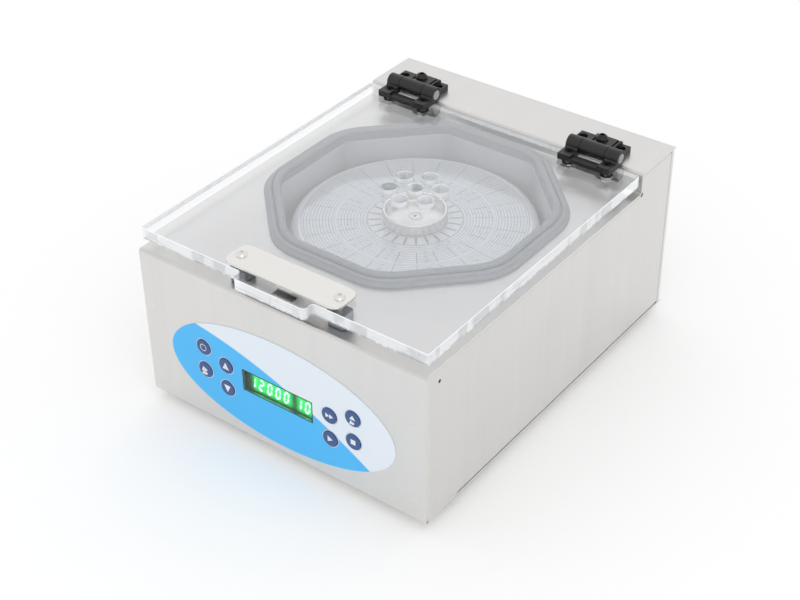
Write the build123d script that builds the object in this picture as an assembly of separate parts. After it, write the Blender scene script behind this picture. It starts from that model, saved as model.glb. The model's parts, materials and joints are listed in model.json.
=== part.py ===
from build123d import *
import math
import os

# Bench microcentrifuge: a folded stainless case with an octagonal rotor chamber in its deck,
# a clear hinged lid with a steel grip plate, and a round rotor on a brushless motor.
# Millimetres, Z up, front towards -Y, origin under the middle of the object on the table.

os.makedirs("parts", exist_ok=True)

# Case
CASE_W = 254.0
CASE_D = 325.0
DECK_H = 128.0
STEP_H = 17.0
STRIP_D = 50.0
SHEET = 1.5
BEND = 2.0
SIDE_BEND = 2.5
FLANGE = 14.0
REAR_LIP = 5.0
SEAM = 0.4
FRONT_SKIRT = 37.5
BASE_TONGUE = 24.0
RELIEF_R = 1.7
SIDE_HOLE_R = 1.4
SIDE_HOLE_SETBACK = 15.6
SIDE_HOLE_DROP = 11.6

# Feet
FOOT_H = 8.0
FOOT_R = 9.5
FOOT_INSET = 27.0
FRONT_FOOT_SETBACK = 56.0
REAR_FOOT_SETBACK = 32.0

# Reach of the lid's front tab past the case
TAB_REACH = 5.0

# Panel studs, nuts and screws
STUD_HEAD_R = 3.2
STUD_HEAD_T = 0.2
STUD_R = 2.0
STUD_LENGTH = 9.0
NUT_R = 3.8
NUT_T = 3.0
SIDE_STUD_INSET = 8.5
FRONT_STUD_HEIGHTS = (19.5, 82.0)
SIDE_STUD_FRONT = 77.0
SIDE_STUD_REAR = 47.0
CHAMBER_STUD_INSET = 6.5
SCREW_HEAD_R = 3.4
SCREW_HEAD_T = 2.0
SCREW_R = 1.8

# Rotor chamber
CHAMBER_SIDE_MARGIN = 30.0
CHAMBER_FRONT_MARGIN = 51.5
GASKET_REAR_GAP = 3.5
CHAMBER_DEPTH = 40.0
CHAMBER_FLANGE = 13.0
CHAMBER_CORNER_FLANGE = 27.0
CHAMBER_CORNER_R = 4.0
FLOOR_T = 2.0
SHAFT_HOLE_R = 14.0
COLLAR_H = 4.0
COLLAR_T = 2.0

# Rim gasket
GASKET_W = 13.0
GASKET_CORNER_R = 46.0
GASKET_BODY_H = 3.4
GASKET_LIP_T = 5.6
GASKET_LIP_EDGE = 0.4
GASKET_GROOVE_W = 0.8
GASKET_GROOVE_DROP = 2.2
LID_SEAL_GAP = 0.3

# Lid
LID_T = 9.5
LID_GAP = 7.3
LID_SIDE_INSET = 1.0
LID_FRONT_INSET = 4.2
LID_REAR_GAP = 3.0
LID_CORNER_R = 1.5
TAB_HALF_W = 28.5
TAB_FLARE = 6.0
VENT_R = 6.35
VENT_RING_R = 19.0
VENT_COUNT = 6

# Grip plate on the lid
GRIP_W = 101.6
GRIP_D = 25.4
GRIP_T = 1.5
GRIP_CORNER_R = 8.0
GRIP_SETBACK = 1.7
GRIP_SHIFT = 3.5
GRIP_SCREW_INSET = 7.8
GRIP_LIFT = 3.5
SPACER_R = 4.0
BUTTON_HEAD_R = 4.0
BUTTON_HEAD_T = 2.3
HEX_AF = 3.0
HEX_DEPTH = 1.4
GRIP_SCREW_R = 2.0

# Buffers and strike under the lid
BUFFER_W = 16.0
BUFFER_D = 12.0
BUFFER_DECK_GAP = 0.5
BUFFER_CORNER_R = 3.0
STRIKE_W = 14.0
STRIKE_T = 2.0
STRIKE_SETBACK = 12.0
STRIKE_DROP = 19.0
STRIKE_FOOT = 11.0
STRIKE_WINDOW_W = 8.0
STRIKE_WINDOW_H = 6.4
BOLT_DROP = 13.0
BOLT_R = 2.6
BOLT_TRAVEL = 7.0
BOLT_REST_GAP = 2.0
BOLT_LENGTH = 30.0
SLOT_FRONT_ROOM = 3.5
SLOT_REAR_ROOM = 1.5
SLOT_SIDE_ROOM = 2.0
SOLENOID_W = 20.0
SOLENOID_L = 26.0
SOLENOID_FRONT_GAP = 8.0
RUN_FIT = 0.05

# Hinges
HINGE_GASKET_ROOM = 39.4
HINGE_W = 45.0
BASE_LEAF_W = 43.0
BASE_LEAF_SHIFT = -3.2
HINGE_AXIS_LIFT = 6.7
HINGE_AXIS_BACK = 0.5
KNUCKLE_R = 6.2
PIN_R = 3.9
CENTRE_KNUCKLE_W = 21.6
KNUCKLE_GAP = 0.35
EAR_W = 10.8
EAR_H = 5.2
LID_EAR_REACH = 17.5
BASE_EAR_REACH = 22.0
BASE_EAR_GAP = 1.4
BAR_D = 7.0
BAR_H = 3.2
EAR_SCREW_SPACING = 33.4
EAR_SCREW_REACH = 10.5
BASE_STUD_REACH = 15.3
COUNTERBORE_R = 3.6
COUNTERBORE_DEPTH = 3.2
HINGE_SCREW_R = 2.0
TORQUE_BLOCK_H = 7.6
TORQUE_HEAD_R = 4.9
TORQUE_HEAD_T = 4.2
WASHER_R = 5.0
WASHER_T = 1.2
HINGE_SCREW_GAP = 0.3

# Front panel, measured from the case's bottom and middle
OVERLAY_T = 0.5
OVERLAY_HALF_W = 102.3
OVERLAY_HALF_H = 45.8
OVERLAY_Z = 53.2
WINDOW_W = 63.0
WINDOW_H = 17.4
WINDOW_X = -1.9
WINDOW_Z = 52.7
WINDOW_FIT = 0.25
LENS_T = 2.0
KEY_R = 6.4
KEY_FIT = 0.3
KEY_T = 0.6
KEY_CROWN = 0.25
KEY_TRAVEL = 0.5
KEY_STEM_R = 3.4
KEY_STEM_FIT = 0.6
KEY_SPOTS = {
    "key_left_top": (-70.1, 65.5),
    "key_left_bottom": (-70.1, 45.1),
    "key_up": (-49.3, 57.9),
    "key_down": (-49.3, 37.5),
    "key_right_top": (66.5, 65.7),
    "key_right_bottom": (66.5, 45.1),
    "key_start": (45.8, 58.3),
    "key_stop": (45.8, 37.5),
}

# Control board behind the front panel
BOARD_SETBACK = 10.0
BOARD_T = 1.6
BOARD_W = 176.0
BOARD_H = 56.0
MODULE_GAP = 0.6
MODULE_DIGITS = 8
DIGIT_W = 6.2
DIGIT_H = 12.0
DIGIT_RECESS = 0.5
SWITCH_W = 6.0
SWITCH_BODY_T = 3.5
SWITCH_PLUNGER_R = 1.75
SWITCH_PLUNGER_T = 1.5
STANDOFF_R = 3.0
BOARD_SCREW_INSET = 5.0

# Rotor
ROTOR_ROOM = 3.9
ROTOR_DROP = 18.0
COVER_T = 2.0
COVER_SKIRT_H = 9.0
COVER_SHOULDER_W = 7.5
COVER_SHOULDER_DROP = 5.5
DISC_T = 5.0
DISC_RIM_H = 9.0
DISC_RIM_T = 5.0
DISC_CLEARANCE = 0.5
TUBE_COUNT = 24
TUBE_GROOVE_R = 1.1
TUBE_INNER_R = 20.0
HUB_R = 16.0
HUB_H = 15.0
HUB_SLEEVE_R = 10.0
CUP_R = 24.4
CUP_H = 9.0
CUP_WALL = 2.2
CUP_FLOOR = 2.2
CUP_BOSS_R = 5.0
CUP_BOSS_H = 1.0
SHAFT_R = 4.0

# Motor and its mounting
MOTOR_R = 31.0
MOTOR_H = 42.0
MOTOR_WALL = 2.5
MOTOR_PLATE_DROP = 55.0
MOTOR_PLATE_W = 104.0
MOTOR_PLATE_T = 3.0
MOTOR_MOUNT_HALF = 42.0
BEARING_R = 11.0
BEARING_W = 7.0
BEARING_FIT = 0.04
STATOR_R = 28.0
STATOR_BORE_R = 17.6
STATOR_H = 18.0
STATOR_SLOTS = 12
STATOR_SLOT_W = 4.4
MAGNET_R = 17.0
MAGNET_H = 20.0
ISOLATOR_R = 8.0
ISOLATOR_WAIST_R = 5.5
ISOLATOR_H = 16.0
POST_R = 5.0

# Power board on the base
POWER_BOARD_W = 60.0
POWER_SIDE_ROOM = 17.0
POWER_REAR_ROOM = 11.0
POWER_FRONT_ROOM = 1.5
POWER_BOARD_LIFT = 6.0
CAPACITOR_R = 9.0
CAPACITOR_H = 26.0
PARTS_EDGE_ROOM = 21.0
CORE_W = 34.0
CORE_D = 28.0
CORE_H = 24.0
SINK_W = 50.0
SINK_D = 20.0
SINK_H = 30.0
SINK_FINS = 7
SINK_FIN_T = 1.6
SINK_BASE_T = 4.0

# Rear fittings
REAR_FITTING_Z = 44.0
INLET_SIDE_ROOM = 45.0
INLET_FLANGE_W = 31.0
INLET_FLANGE_H = 24.0
INLET_FLANGE_T = 2.5
INLET_BODY_W = 27.0
INLET_BODY_H = 20.0
INLET_BODY_D = 22.0
INLET_WELL_W = 23.6
INLET_WELL_H = 15.6
INLET_WELL_D = 17.0
INLET_BEVEL = 4.5
BLADE_W = 2.0
BLADE_H = 4.0
BLADE_L = 11.0
BLADE_SPREAD = 7.0
BLADE_OFFSET = 2.0
ROCKER_SPACING = 42.0
ROCKER_FRAME_W = 15.0
ROCKER_FRAME_H = 21.0
ROCKER_FRAME_T = 1.6
ROCKER_W = 9.0
ROCKER_H = 14.4
ROCKER_PROUD = 1.45
ROCKER_FIT = 0.5
ROCKER_BODY_D = 16.0
ROCKER_TILT = 8.0
ROCKER_PIN_R = 1.0
VENT_SLOT_W = 3.0
VENT_SLOT_H = 24.0
VENT_SLOT_PITCH = 8.0
VENT_SLOT_COUNT = 10
VENT_SLOT_SIDE_ROOM = 69.0
VENT_ROW_HEIGHTS = (38.0, 78.0)
BASE_SLOT_COUNT = 9
BASE_SLOT_L = 34.0
BASE_SLOT_X = 78.0
BASE_SLOT_SETBACK = 190.0

# Levels and places worked out from the sizes above
base_z = FOOT_H
deck_z = base_z + DECK_H
strip_z = deck_z + STEP_H
side_x = CASE_W / 2
front_y = -(CASE_D + INLET_FLANGE_T - TAB_REACH) / 2
back_y = front_y + CASE_D
riser_y = back_y - STRIP_D
room_w = CASE_W - 2 * CHAMBER_SIDE_MARGIN
room_d = CASE_D - STRIP_D - CHAMBER_FRONT_MARGIN - GASKET_REAR_GAP - 2 * GASKET_W
chamber_af = min(room_w, room_d)
gasket_af = chamber_af + 2 * GASKET_W
rotor_y = riser_y - GASKET_REAR_GAP - gasket_af / 2
rotor_r = chamber_af / 2 - ROTOR_ROOM
cover_field_r = rotor_r - COVER_SHOULDER_W
side_end_y = back_y - REAR_LIP - SEAM
skirt_y = front_y + FRONT_SKIRT
open_af = chamber_af + 2 * SHEET
floor_z = deck_z - CHAMBER_DEPTH
lid_bottom = deck_z + LID_GAP
lid_top = lid_bottom + LID_T
lid_front_y = front_y + LID_FRONT_INSET
lid_rear_y = riser_y - LID_REAR_GAP
lid_half_w = side_x - LID_SIDE_INSET
tab_y = front_y - TAB_REACH
axis_y = riser_y + HINGE_AXIS_BACK
axis_z = lid_top + HINGE_AXIS_LIFT
cover_z = deck_z - ROTOR_DROP + COVER_T
plate_z = deck_z - MOTOR_PLATE_DROP
rear_fitting_z = base_z + REAR_FITTING_Z
inlet_x = side_x - INLET_SIDE_ROOM
rocker_x = inlet_x - ROCKER_SPACING
vent_slot_x = VENT_SLOT_SIDE_ROOM - side_x
hinge_x = gasket_af / 2 * math.tan(math.pi / 8) + HINGE_GASKET_ROOM
power_x = POWER_SIDE_ROOM + POWER_BOARD_W / 2 - side_x
power_front_y = rotor_y + MOTOR_MOUNT_HALF + POST_R + POWER_FRONT_ROOM
power_rear_y = back_y - POWER_REAR_ROOM
bolt_z = deck_z - BOLT_DROP
strike_y = front_y + STRIKE_SETBACK
grip_y = front_y + GRIP_SETBACK + GRIP_D / 2


def along_x(sketch, x0, x1):
    """Extrude a sketch drawn in Y and Z from x0 to x1."""
    plane = Plane(origin=(x0, 0, 0), x_dir=(0, 1, 0), z_dir=(1, 0, 0))
    return extrude(plane * sketch, amount=x1 - x0)


def along_y(sketch, y0, y1):
    """Extrude a sketch drawn in X and Z from y0 to y1."""
    plane = Plane(origin=(0, y1, 0), x_dir=(1, 0, 0), z_dir=(0, -1, 0))
    return extrude(plane * sketch, amount=y1 - y0)


def along_z(sketch, z0, z1):
    """Extrude a sketch drawn in X and Y from z0 to z1."""
    return extrude(Plane.XY.offset(z0) * sketch, amount=z1 - z0)


def turned(points):
    """Revolve a profile of (radius, height) points about the Z axis."""
    return revolve(Plane.XZ * Polygon(*points, align=None), axis=Axis.Z)


def rod(radius, z0, z1):
    """A round bar on the Z axis."""
    return along_z(Circle(radius), z0, z1)


def tube(outer, inner, z0, z1):
    """A round tube on the Z axis."""
    return along_z(Circle(outer) - Circle(inner), z0, z1)


def block(x0, x1, y0, y1, z0, z1):
    """A rectangular block between two corners."""
    return Pos((x0 + x1) / 2, (y0 + y1) / 2, (z0 + z1) / 2) * Box(x1 - x0, y1 - y0, z1 - z0)


def bent_profile(points, thickness, bend):
    """The section of a folded sheet whose middle follows the points."""
    spine = FilletPolyline(*points, radius=bend)
    outline = offset(spine, amount=thickness / 2, side=Side.BOTH)
    return make_face(outline.edges())


def octagon(across_flats, corner_r=0.0):
    """An octagon with flats to the front and sides, its corners rounded."""
    shape = RegularPolygon(across_flats / 2, 8, major_radius=False, rotation=22.5)
    if corner_r > 0:
        shape = fillet(shape.vertices(), corner_r)
    return Pos(0, rotor_y) * shape


def hexagon(across_flats):
    """A regular hexagon by its width across flats."""
    return RegularPolygon(across_flats / 2, 6, major_radius=False)


def grouped(solids):
    """Separate solids kept together as one node."""
    return Compound(children=[item for shape in solids for item in shape.solids()])


def save(node, shape):
    """Write one sub-part to its own STEP file."""
    export_step(shape, f"parts/{node}.step")


# Places of the panel studs, as (x, y)
front_stud_x = side_x - SIDE_STUD_INSET
stud_row_ys = (front_y + SIDE_STUD_FRONT, riser_y - SIDE_STUD_REAR)
deck_stud_spots = [(sx * (side_x - FLANGE / 2), y) for sx in (-1, 1) for y in stud_row_ys]
chamber_reach = (open_af / 2 + CHAMBER_CORNER_FLANGE - CHAMBER_STUD_INSET) / math.sqrt(2)
deck_stud_spots += [
    (sx * chamber_reach, rotor_y + sy * chamber_reach) for sx in (-1, 1) for sy in (-1, 1)
]
grip_screw_spots = [(GRIP_SHIFT + sx * (GRIP_W / 2 - GRIP_SCREW_INSET), grip_y) for sx in (-1, 1)]
hinge_screw_spots = [
    (hx + sx * EAR_SCREW_SPACING / 2, axis_y - EAR_SCREW_REACH)
    for hx in (-hinge_x, hinge_x)
    for sx in (-1, 1)
]
hinge_stud_spots = [(x + BASE_LEAF_SHIFT, axis_y + BASE_STUD_REACH) for x, _ in hinge_screw_spots]
board_corner_spots = [
    (sx * (BOARD_W / 2 - BOARD_SCREW_INSET), OVERLAY_Z + sz * (BOARD_H / 2 - BOARD_SCREW_INSET))
    for sx in (-1, 1)
    for sz in (-1, 1)
]
motor_mount_spots = [
    (sx * MOTOR_MOUNT_HALF, rotor_y + sy * MOTOR_MOUNT_HALF) for sx in (-1, 1) for sy in (-1, 1)
]
foot_spots = [
    (sx * (side_x - FOOT_INSET), y)
    for sx in (-1, 1)
    for y in (front_y + FRONT_FOOT_SETBACK, back_y - REAR_FOOT_SETBACK)
]
rear_screw_spots = [
    (sx * (side_x - FLANGE / 2 - SHEET), base_z + z)
    for sx in (-1, 1)
    for z in (DECK_H * 0.1, DECK_H * 0.5, DECK_H * 0.9)
]


# Case

def case_shell():
    """Front, deck, riser and rear strip folded from one sheet."""
    half = SHEET / 2
    path = [
        (front_y + FRONT_SKIRT - SEAM - BEND, base_z + half),
        (front_y + half, base_z + half),
        (front_y + half, deck_z - half),
        (riser_y + half, deck_z - half),
        (riser_y + half, strip_z - half),
        (back_y, strip_z - half),
    ]
    shell = along_x(bent_profile(path, SHEET, BEND), -side_x, side_x)
    shell -= along_z(octagon(open_af, CHAMBER_CORNER_R), deck_z - 2 * SHEET, deck_z + SHEET)
    window = Pos(WINDOW_X, base_z + WINDOW_Z) * Rectangle(WINDOW_W, WINDOW_H)
    shell -= along_y(window, front_y - SHEET, front_y + 2 * SHEET)
    for x, z in KEY_SPOTS.values():
        hole = Pos(x, base_z + z) * Circle(KEY_STEM_R + KEY_STEM_FIT)
        shell -= along_y(hole, front_y - SHEET, front_y + 2 * SHEET)
    for x, y in deck_stud_spots:
        shell -= Pos(x, y, 0) * rod(STUD_R, deck_z - 2 * SHEET, deck_z + SHEET)
    for x, y in hinge_stud_spots:
        shell -= Pos(x, y, 0) * rod(STUD_R, strip_z - 2 * SHEET, strip_z + SHEET)
    for sx in (-1, 1):
        for height in FRONT_STUD_HEIGHTS:
            hole = Pos(sx * front_stud_x, base_z + height) * Circle(STUD_R)
            shell -= along_y(hole, front_y - SHEET, front_y + 2 * SHEET)
        inner, outer = sorted((sx * (side_x - SIDE_BEND - SHEET), sx * (side_x + SHEET)))
        shell -= block(inner, outer, front_y + SHEET, skirt_y, base_z - SHEET, base_z + SIDE_BEND)
    slot_front = strike_y - SLOT_FRONT_ROOM
    slot_rear = strike_y + STRIKE_T + SLOT_REAR_ROOM
    slot_half = STRIKE_W / 2 + SLOT_SIDE_ROOM
    shell -= block(-slot_half, slot_half, slot_front, slot_rear, deck_z - 2 * SHEET, deck_z + SHEET)
    return shell


def side_outline(margin):
    """The side panel's outline in Y and Z, drawn in by a margin, open past its rear end."""
    return Polygon(
        (front_y + SHEET + margin, base_z + SHEET + margin),
        (side_end_y + margin, base_z + SHEET + margin),
        (side_end_y + margin, strip_z - SHEET - margin),
        (riser_y + SHEET + margin, strip_z - SHEET - margin),
        (riser_y + SHEET + margin, deck_z - SHEET - margin),
        (front_y + SHEET + margin, deck_z - SHEET - margin),
        align=None,
    )


def side_panel(hand):
    """One side, a tray with flanges behind the front, deck and strip; hand is -1 or 1."""
    outer = along_x(side_outline(0), side_x - FLANGE, side_x)
    rim = outer.faces().sort_by(Axis.X)[-1].edges().filter_by(lambda e: e.center().Y < side_end_y - 1)
    outer = fillet(rim, SIDE_BEND)
    inner = along_x(side_outline(SHEET), side_x - FLANGE - SHEET, side_x - SHEET)
    rim = inner.faces().sort_by(Axis.X)[-1].edges()
    inner = fillet(rim, SIDE_BEND - SHEET)
    panel = outer - inner
    skirt = (front_y + SHEET, skirt_y, base_z, base_z + SHEET + SIDE_BEND)
    panel += block(side_x - SHEET, side_x, *skirt)
    corners = [
        (front_y + SHEET, base_z + SHEET),
        (front_y + SHEET, deck_z - SHEET),
        (riser_y + SHEET, deck_z - SHEET),
        (riser_y + SHEET, strip_z - SHEET),
        (skirt_y, base_z + SHEET),
    ]
    for y, z in corners:
        panel -= along_x(Pos(y, z) * Circle(RELIEF_R), side_x - FLANGE - SHEET, side_x + SHEET)
    inner_lap = side_x - 2 * SHEET
    angle = [
        (side_end_y - FLANGE, inner_lap + SHEET / 2),
        (back_y - SHEET * 1.5, inner_lap + SHEET / 2),
        (back_y - SHEET * 1.5, side_x - SHEET - FLANGE),
    ]
    lap = Plane(origin=(0, 0, 0), x_dir=(0, 1, 0), z_dir=(0, 0, -1)) * bent_profile(
        [(y, x) for y, x in angle], SHEET, BEND
    )
    lap_low = base_z + 2 * SHEET + SIDE_BEND
    lap_high = strip_z - 2 * SHEET - SIDE_BEND
    rear_angle = extrude(lap, amount=lap_high - lap_low)
    rear_angle = Pos(0, 0, lap_high) * rear_angle
    panel += rear_angle
    hole = Pos(front_y + SIDE_HOLE_SETBACK, deck_z - SIDE_HOLE_DROP) * Circle(SIDE_HOLE_R)
    panel -= along_x(hole, side_x - 2 * SHEET, side_x + SHEET)
    for height in FRONT_STUD_HEIGHTS:
        hole = Pos(front_stud_x, base_z + height) * Circle(STUD_R)
        panel -= along_y(hole, front_y, front_y + 3 * SHEET)
    for x, y in deck_stud_spots:
        panel -= Pos(abs(x), y, 0) * rod(STUD_R, deck_z - 3 * SHEET, deck_z)
    for x, z in rear_screw_spots:
        hole = Pos(abs(x), z) * Circle(SCREW_R)
        panel -= along_y(hole, back_y - 3 * SHEET, back_y)
    return panel if hand > 0 else mirror(panel, about=Plane.YZ)


def rear_panel():
    """The back, a shallow tray with slots and cut-outs."""
    low = base_z + SHEET
    high = strip_z - SHEET
    middle = Pos(0, (low + high) / 2)
    tray = along_y(middle * Rectangle(CASE_W, high - low), back_y - REAR_LIP, back_y)
    tray = fillet(tray.faces().sort_by(Axis.Y)[-1].edges(), BEND)
    hollow = Rectangle(CASE_W - 2 * SHEET, high - low - 2 * SHEET)
    tray -= along_y(middle * hollow, back_y - REAR_LIP - SHEET, back_y - SHEET)
    for row in VENT_ROW_HEIGHTS:
        for i in range(VENT_SLOT_COUNT):
            x = vent_slot_x + (i - (VENT_SLOT_COUNT - 1) / 2) * VENT_SLOT_PITCH
            slot = Pos(x, base_z + row) * SlotOverall(VENT_SLOT_H, VENT_SLOT_W, rotation=90)
            tray -= along_y(slot, back_y - 2 * SHEET, back_y + SHEET)
    inlet = Pos(inlet_x, rear_fitting_z) * Rectangle(INLET_BODY_W, INLET_BODY_H)
    tray -= along_y(inlet, back_y - 2 * SHEET, back_y + SHEET)
    rocker = Pos(rocker_x, rear_fitting_z)
    rocker *= Rectangle(ROCKER_FRAME_W - 2 * ROCKER_FRAME_T, ROCKER_FRAME_H - 2 * ROCKER_FRAME_T)
    tray -= along_y(rocker, back_y - 2 * SHEET, back_y + SHEET)
    for x, z in rear_screw_spots:
        tray -= along_y(Pos(x, z) * Circle(SCREW_R), back_y - 2 * SHEET, back_y + SHEET)
    return tray


def base_plate():
    """The bottom sheet, joggled up at the front to lie on the front's lower flange."""
    half = SHEET / 2
    path = [
        (skirt_y - BASE_TONGUE, base_z + SHEET + half),
        (skirt_y - SHEET, base_z + SHEET + half),
        (skirt_y + SHEET, base_z + half),
        (back_y, base_z + half),
    ]
    plate = along_x(bent_profile(path, SHEET, BEND), -side_x, side_x)
    tongue_half = side_x - FLANGE - SHEET
    for sx in (-1, 1):
        inner, outer = sorted((sx * tongue_half, sx * (side_x + SHEET)))
        plate -= block(inner, outer, front_y, skirt_y + 2 * SHEET, base_z - SHEET, base_z + 4 * SHEET)
    for x, y in foot_spots:
        plate -= Pos(x, y, 0) * rod(SCREW_R, base_z - SHEET, base_z + 2 * SHEET)
    for i in range(BASE_SLOT_COUNT):
        y = front_y + BASE_SLOT_SETBACK + (i - (BASE_SLOT_COUNT - 1) / 2) * VENT_SLOT_PITCH
        slot = Pos(BASE_SLOT_X, y) * SlotOverall(BASE_SLOT_L, VENT_SLOT_W)
        plate -= along_z(slot, base_z - SHEET, base_z + 2 * SHEET)
    return plate


def rubber_feet():
    """Four round feet with a recess for their screws."""
    recess_r = SCREW_HEAD_R + 0.6
    recess_h = FOOT_H * 0.45
    profile = [
        (SCREW_R, recess_h),
        (recess_r, recess_h),
        (recess_r, 0),
        (FOOT_R - 1.8, 0),
        (FOOT_R - 0.8, 0.8),
        (FOOT_R, FOOT_H),
        (SCREW_R, FOOT_H),
    ]
    foot = turned(profile)
    return grouped(Pos(x, y, 0) * foot for x, y in foot_spots)


def case_screws():
    """Screws of the feet and of the rear panel."""
    head_z = FOOT_H * 0.45
    foot_screw = rod(SCREW_HEAD_R, head_z - SCREW_HEAD_T, head_z)
    foot_screw += rod(SCREW_R, head_z, base_z + SHEET + NUT_T + 1)
    foot_nut = along_z(hexagon(2 * SCREW_HEAD_R) - Circle(SCREW_R), base_z + SHEET, base_z + SHEET + NUT_T)
    screws = [Pos(x, y, 0) * item for x, y in foot_spots for item in (foot_screw, foot_nut)]
    pan = turned(
        [
            (0, -3 * SHEET - NUT_T),
            (SCREW_R, -3 * SHEET - NUT_T),
            (SCREW_R, 0),
            (SCREW_HEAD_R, 0),
            (SCREW_HEAD_R, SCREW_HEAD_T * 0.5),
            (SCREW_HEAD_R * 0.7, SCREW_HEAD_T * 0.9),
            (0, SCREW_HEAD_T),
        ]
    )
    pan -= block(-SCREW_HEAD_R * 0.6, SCREW_HEAD_R * 0.6, -0.4, 0.4, SCREW_HEAD_T * 0.4, SCREW_HEAD_T + 1)
    pan -= block(-0.4, 0.4, -SCREW_HEAD_R * 0.6, SCREW_HEAD_R * 0.6, SCREW_HEAD_T * 0.4, SCREW_HEAD_T + 1)
    rear = Rot(-90, 0, 0) * pan
    screws += [Pos(x, back_y, z) * rear for x, z in rear_screw_spots]
    return grouped(screws)


def panel_studs():
    """Flush studs that hold the folded sheets together, with their nuts."""
    stud = turned(
        [
            (0, -STUD_LENGTH),
            (STUD_R, -STUD_LENGTH),
            (STUD_R, 0),
            (STUD_HEAD_R, 0),
            (STUD_HEAD_R - STUD_HEAD_T, STUD_HEAD_T),
            (0, STUD_HEAD_T),
        ]
    )
    nut = along_z(hexagon(2 * NUT_R) - Circle(STUD_R), -2 * SHEET - NUT_T, -2 * SHEET)
    solids = [Pos(x, y, deck_z) * item for x, y in deck_stud_spots for item in (stud, nut)]
    front_stud = Rot(90, 0, 0) * stud
    front_nut = Rot(90, 0, 0) * nut
    for sx in (-1, 1):
        for height in FRONT_STUD_HEIGHTS:
            place = Pos(sx * front_stud_x, front_y, base_z + height)
            solids += [place * front_stud, place * front_nut]
    pillar = rod(STUD_R, strip_z - SHEET - NUT_T - 1, strip_z + EAR_H - COUNTERBORE_DEPTH + 1)
    pillar_nut = along_z(hexagon(2 * NUT_R) - Circle(STUD_R), strip_z - SHEET - NUT_T, strip_z - SHEET)
    solids += [Pos(x, y, 0) * item for x, y in hinge_stud_spots for item in (pillar, pillar_nut)]
    return grouped(solids)


# Chamber

def chamber_flange():
    """The flange under the deck: an octagon with wider corners for the studs."""
    reach = open_af / 2 + CHAMBER_FLANGE
    corner = open_af / 2 + CHAMBER_CORNER_FLANGE
    square = Rectangle(2 * reach, 2 * reach)
    turned_square = Rectangle(2 * corner, 2 * corner, rotation=45)
    return Pos(0, rotor_y) * (square & turned_square)


def chamber_tub():
    """Folded octagonal wall with a flange at its top."""
    top = deck_z - SHEET
    flange_low = top - SHEET
    tub = along_z(chamber_flange(), flange_low, top)
    tub += along_z(octagon(open_af, CHAMBER_CORNER_R), floor_z - FLOOR_T, flange_low)
    bore = along_z(octagon(chamber_af, CHAMBER_CORNER_R - SHEET), floor_z - FLOOR_T - 1, top + 1)
    tub -= bore
    rim = tub.faces().sort_by(Axis.Z)[-1].inner_wires()[0].edges()
    tub = fillet(rim, SHEET * 0.9)
    for x, y in deck_stud_spots:
        tub -= Pos(x, y, 0) * rod(STUD_R, deck_z - 3 * SHEET, deck_z)
    return tub


def chamber_floor():
    """Octagonal floor with a raised collar round the shaft hole."""
    floor = along_z(octagon(chamber_af, CHAMBER_CORNER_R - SHEET), floor_z - FLOOR_T, floor_z)
    collar = turned(
        [
            (SHAFT_HOLE_R, -FLOOR_T),
            (SHAFT_HOLE_R + 3 * COLLAR_T, -FLOOR_T),
            (SHAFT_HOLE_R + 3 * COLLAR_T, 0),
            (SHAFT_HOLE_R + COLLAR_T, COLLAR_H * 0.5),
            (SHAFT_HOLE_R + COLLAR_T, COLLAR_H),
            (SHAFT_HOLE_R, COLLAR_H),
        ]
    )
    floor += Pos(0, rotor_y, floor_z) * collar
    floor -= Pos(0, rotor_y, 0) * rod(SHAFT_HOLE_R, floor_z - 2 * FLOOR_T, floor_z + 2 * COLLAR_H)
    return floor


def gasket_band(af_out, af_in, z0, z1):
    """An octagonal ring of the gasket, its corners set in from the gasket's outer corner."""
    outer_r = GASKET_CORNER_R - (gasket_af - af_out) / 2
    inner_r = max(CHAMBER_CORNER_R - SHEET, GASKET_CORNER_R - (gasket_af - af_in) / 2)
    return along_z(octagon(af_out, outer_r) - octagon(af_in, inner_r), z0, z1)


def chamber_gasket():
    """Broad rubber rim with a raised sealing lip, and a tongue over the deck's cut edge."""
    inner_af = chamber_af
    outer_af = gasket_af
    body_top = deck_z + GASKET_BODY_H
    seal_top = lid_bottom - LID_SEAL_GAP
    gasket = gasket_band(outer_af, inner_af, deck_z, body_top)
    rim = gasket.faces().sort_by(Axis.Z)[-1].outer_wire().edges()
    gasket = chamfer(rim, GASKET_BODY_H * 0.6)
    tongue = octagon(open_af, CHAMBER_CORNER_R) - octagon(inner_af, CHAMBER_CORNER_R - SHEET)
    gasket += along_z(tongue, deck_z - SHEET, deck_z)
    inner_lip = inner_af + 2 * (GASKET_LIP_EDGE + GASKET_LIP_T)
    outer_lip = inner_lip + 2 * (GASKET_GROOVE_W + GASKET_LIP_T * 0.7)
    lips = [
        (inner_lip, GASKET_LIP_T, seal_top),
        (outer_lip, GASKET_LIP_T * 0.7, seal_top - GASKET_GROOVE_DROP),
    ]
    for af, width, top in lips:
        lip = gasket_band(af, af - 2 * width, body_top - 0.5, top)
        crest = lip.faces().sort_by(Axis.Z)[-1].edges()
        gasket += fillet(crest, min(width * 0.42, (top - body_top) * 0.9))
    return gasket


# Front panel

def front_overlay():
    """Printed sheet on the front, with a window and holes for the keys."""
    face = Pos(0, base_z + OVERLAY_Z) * Ellipse(OVERLAY_HALF_W, OVERLAY_HALF_H)
    face -= Pos(WINDOW_X, base_z + WINDOW_Z) * Rectangle(WINDOW_W, WINDOW_H)
    for x, z in KEY_SPOTS.values():
        face -= Pos(x, base_z + z) * Circle(KEY_R + KEY_FIT)
    return along_y(face, front_y - OVERLAY_T, front_y)


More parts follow.
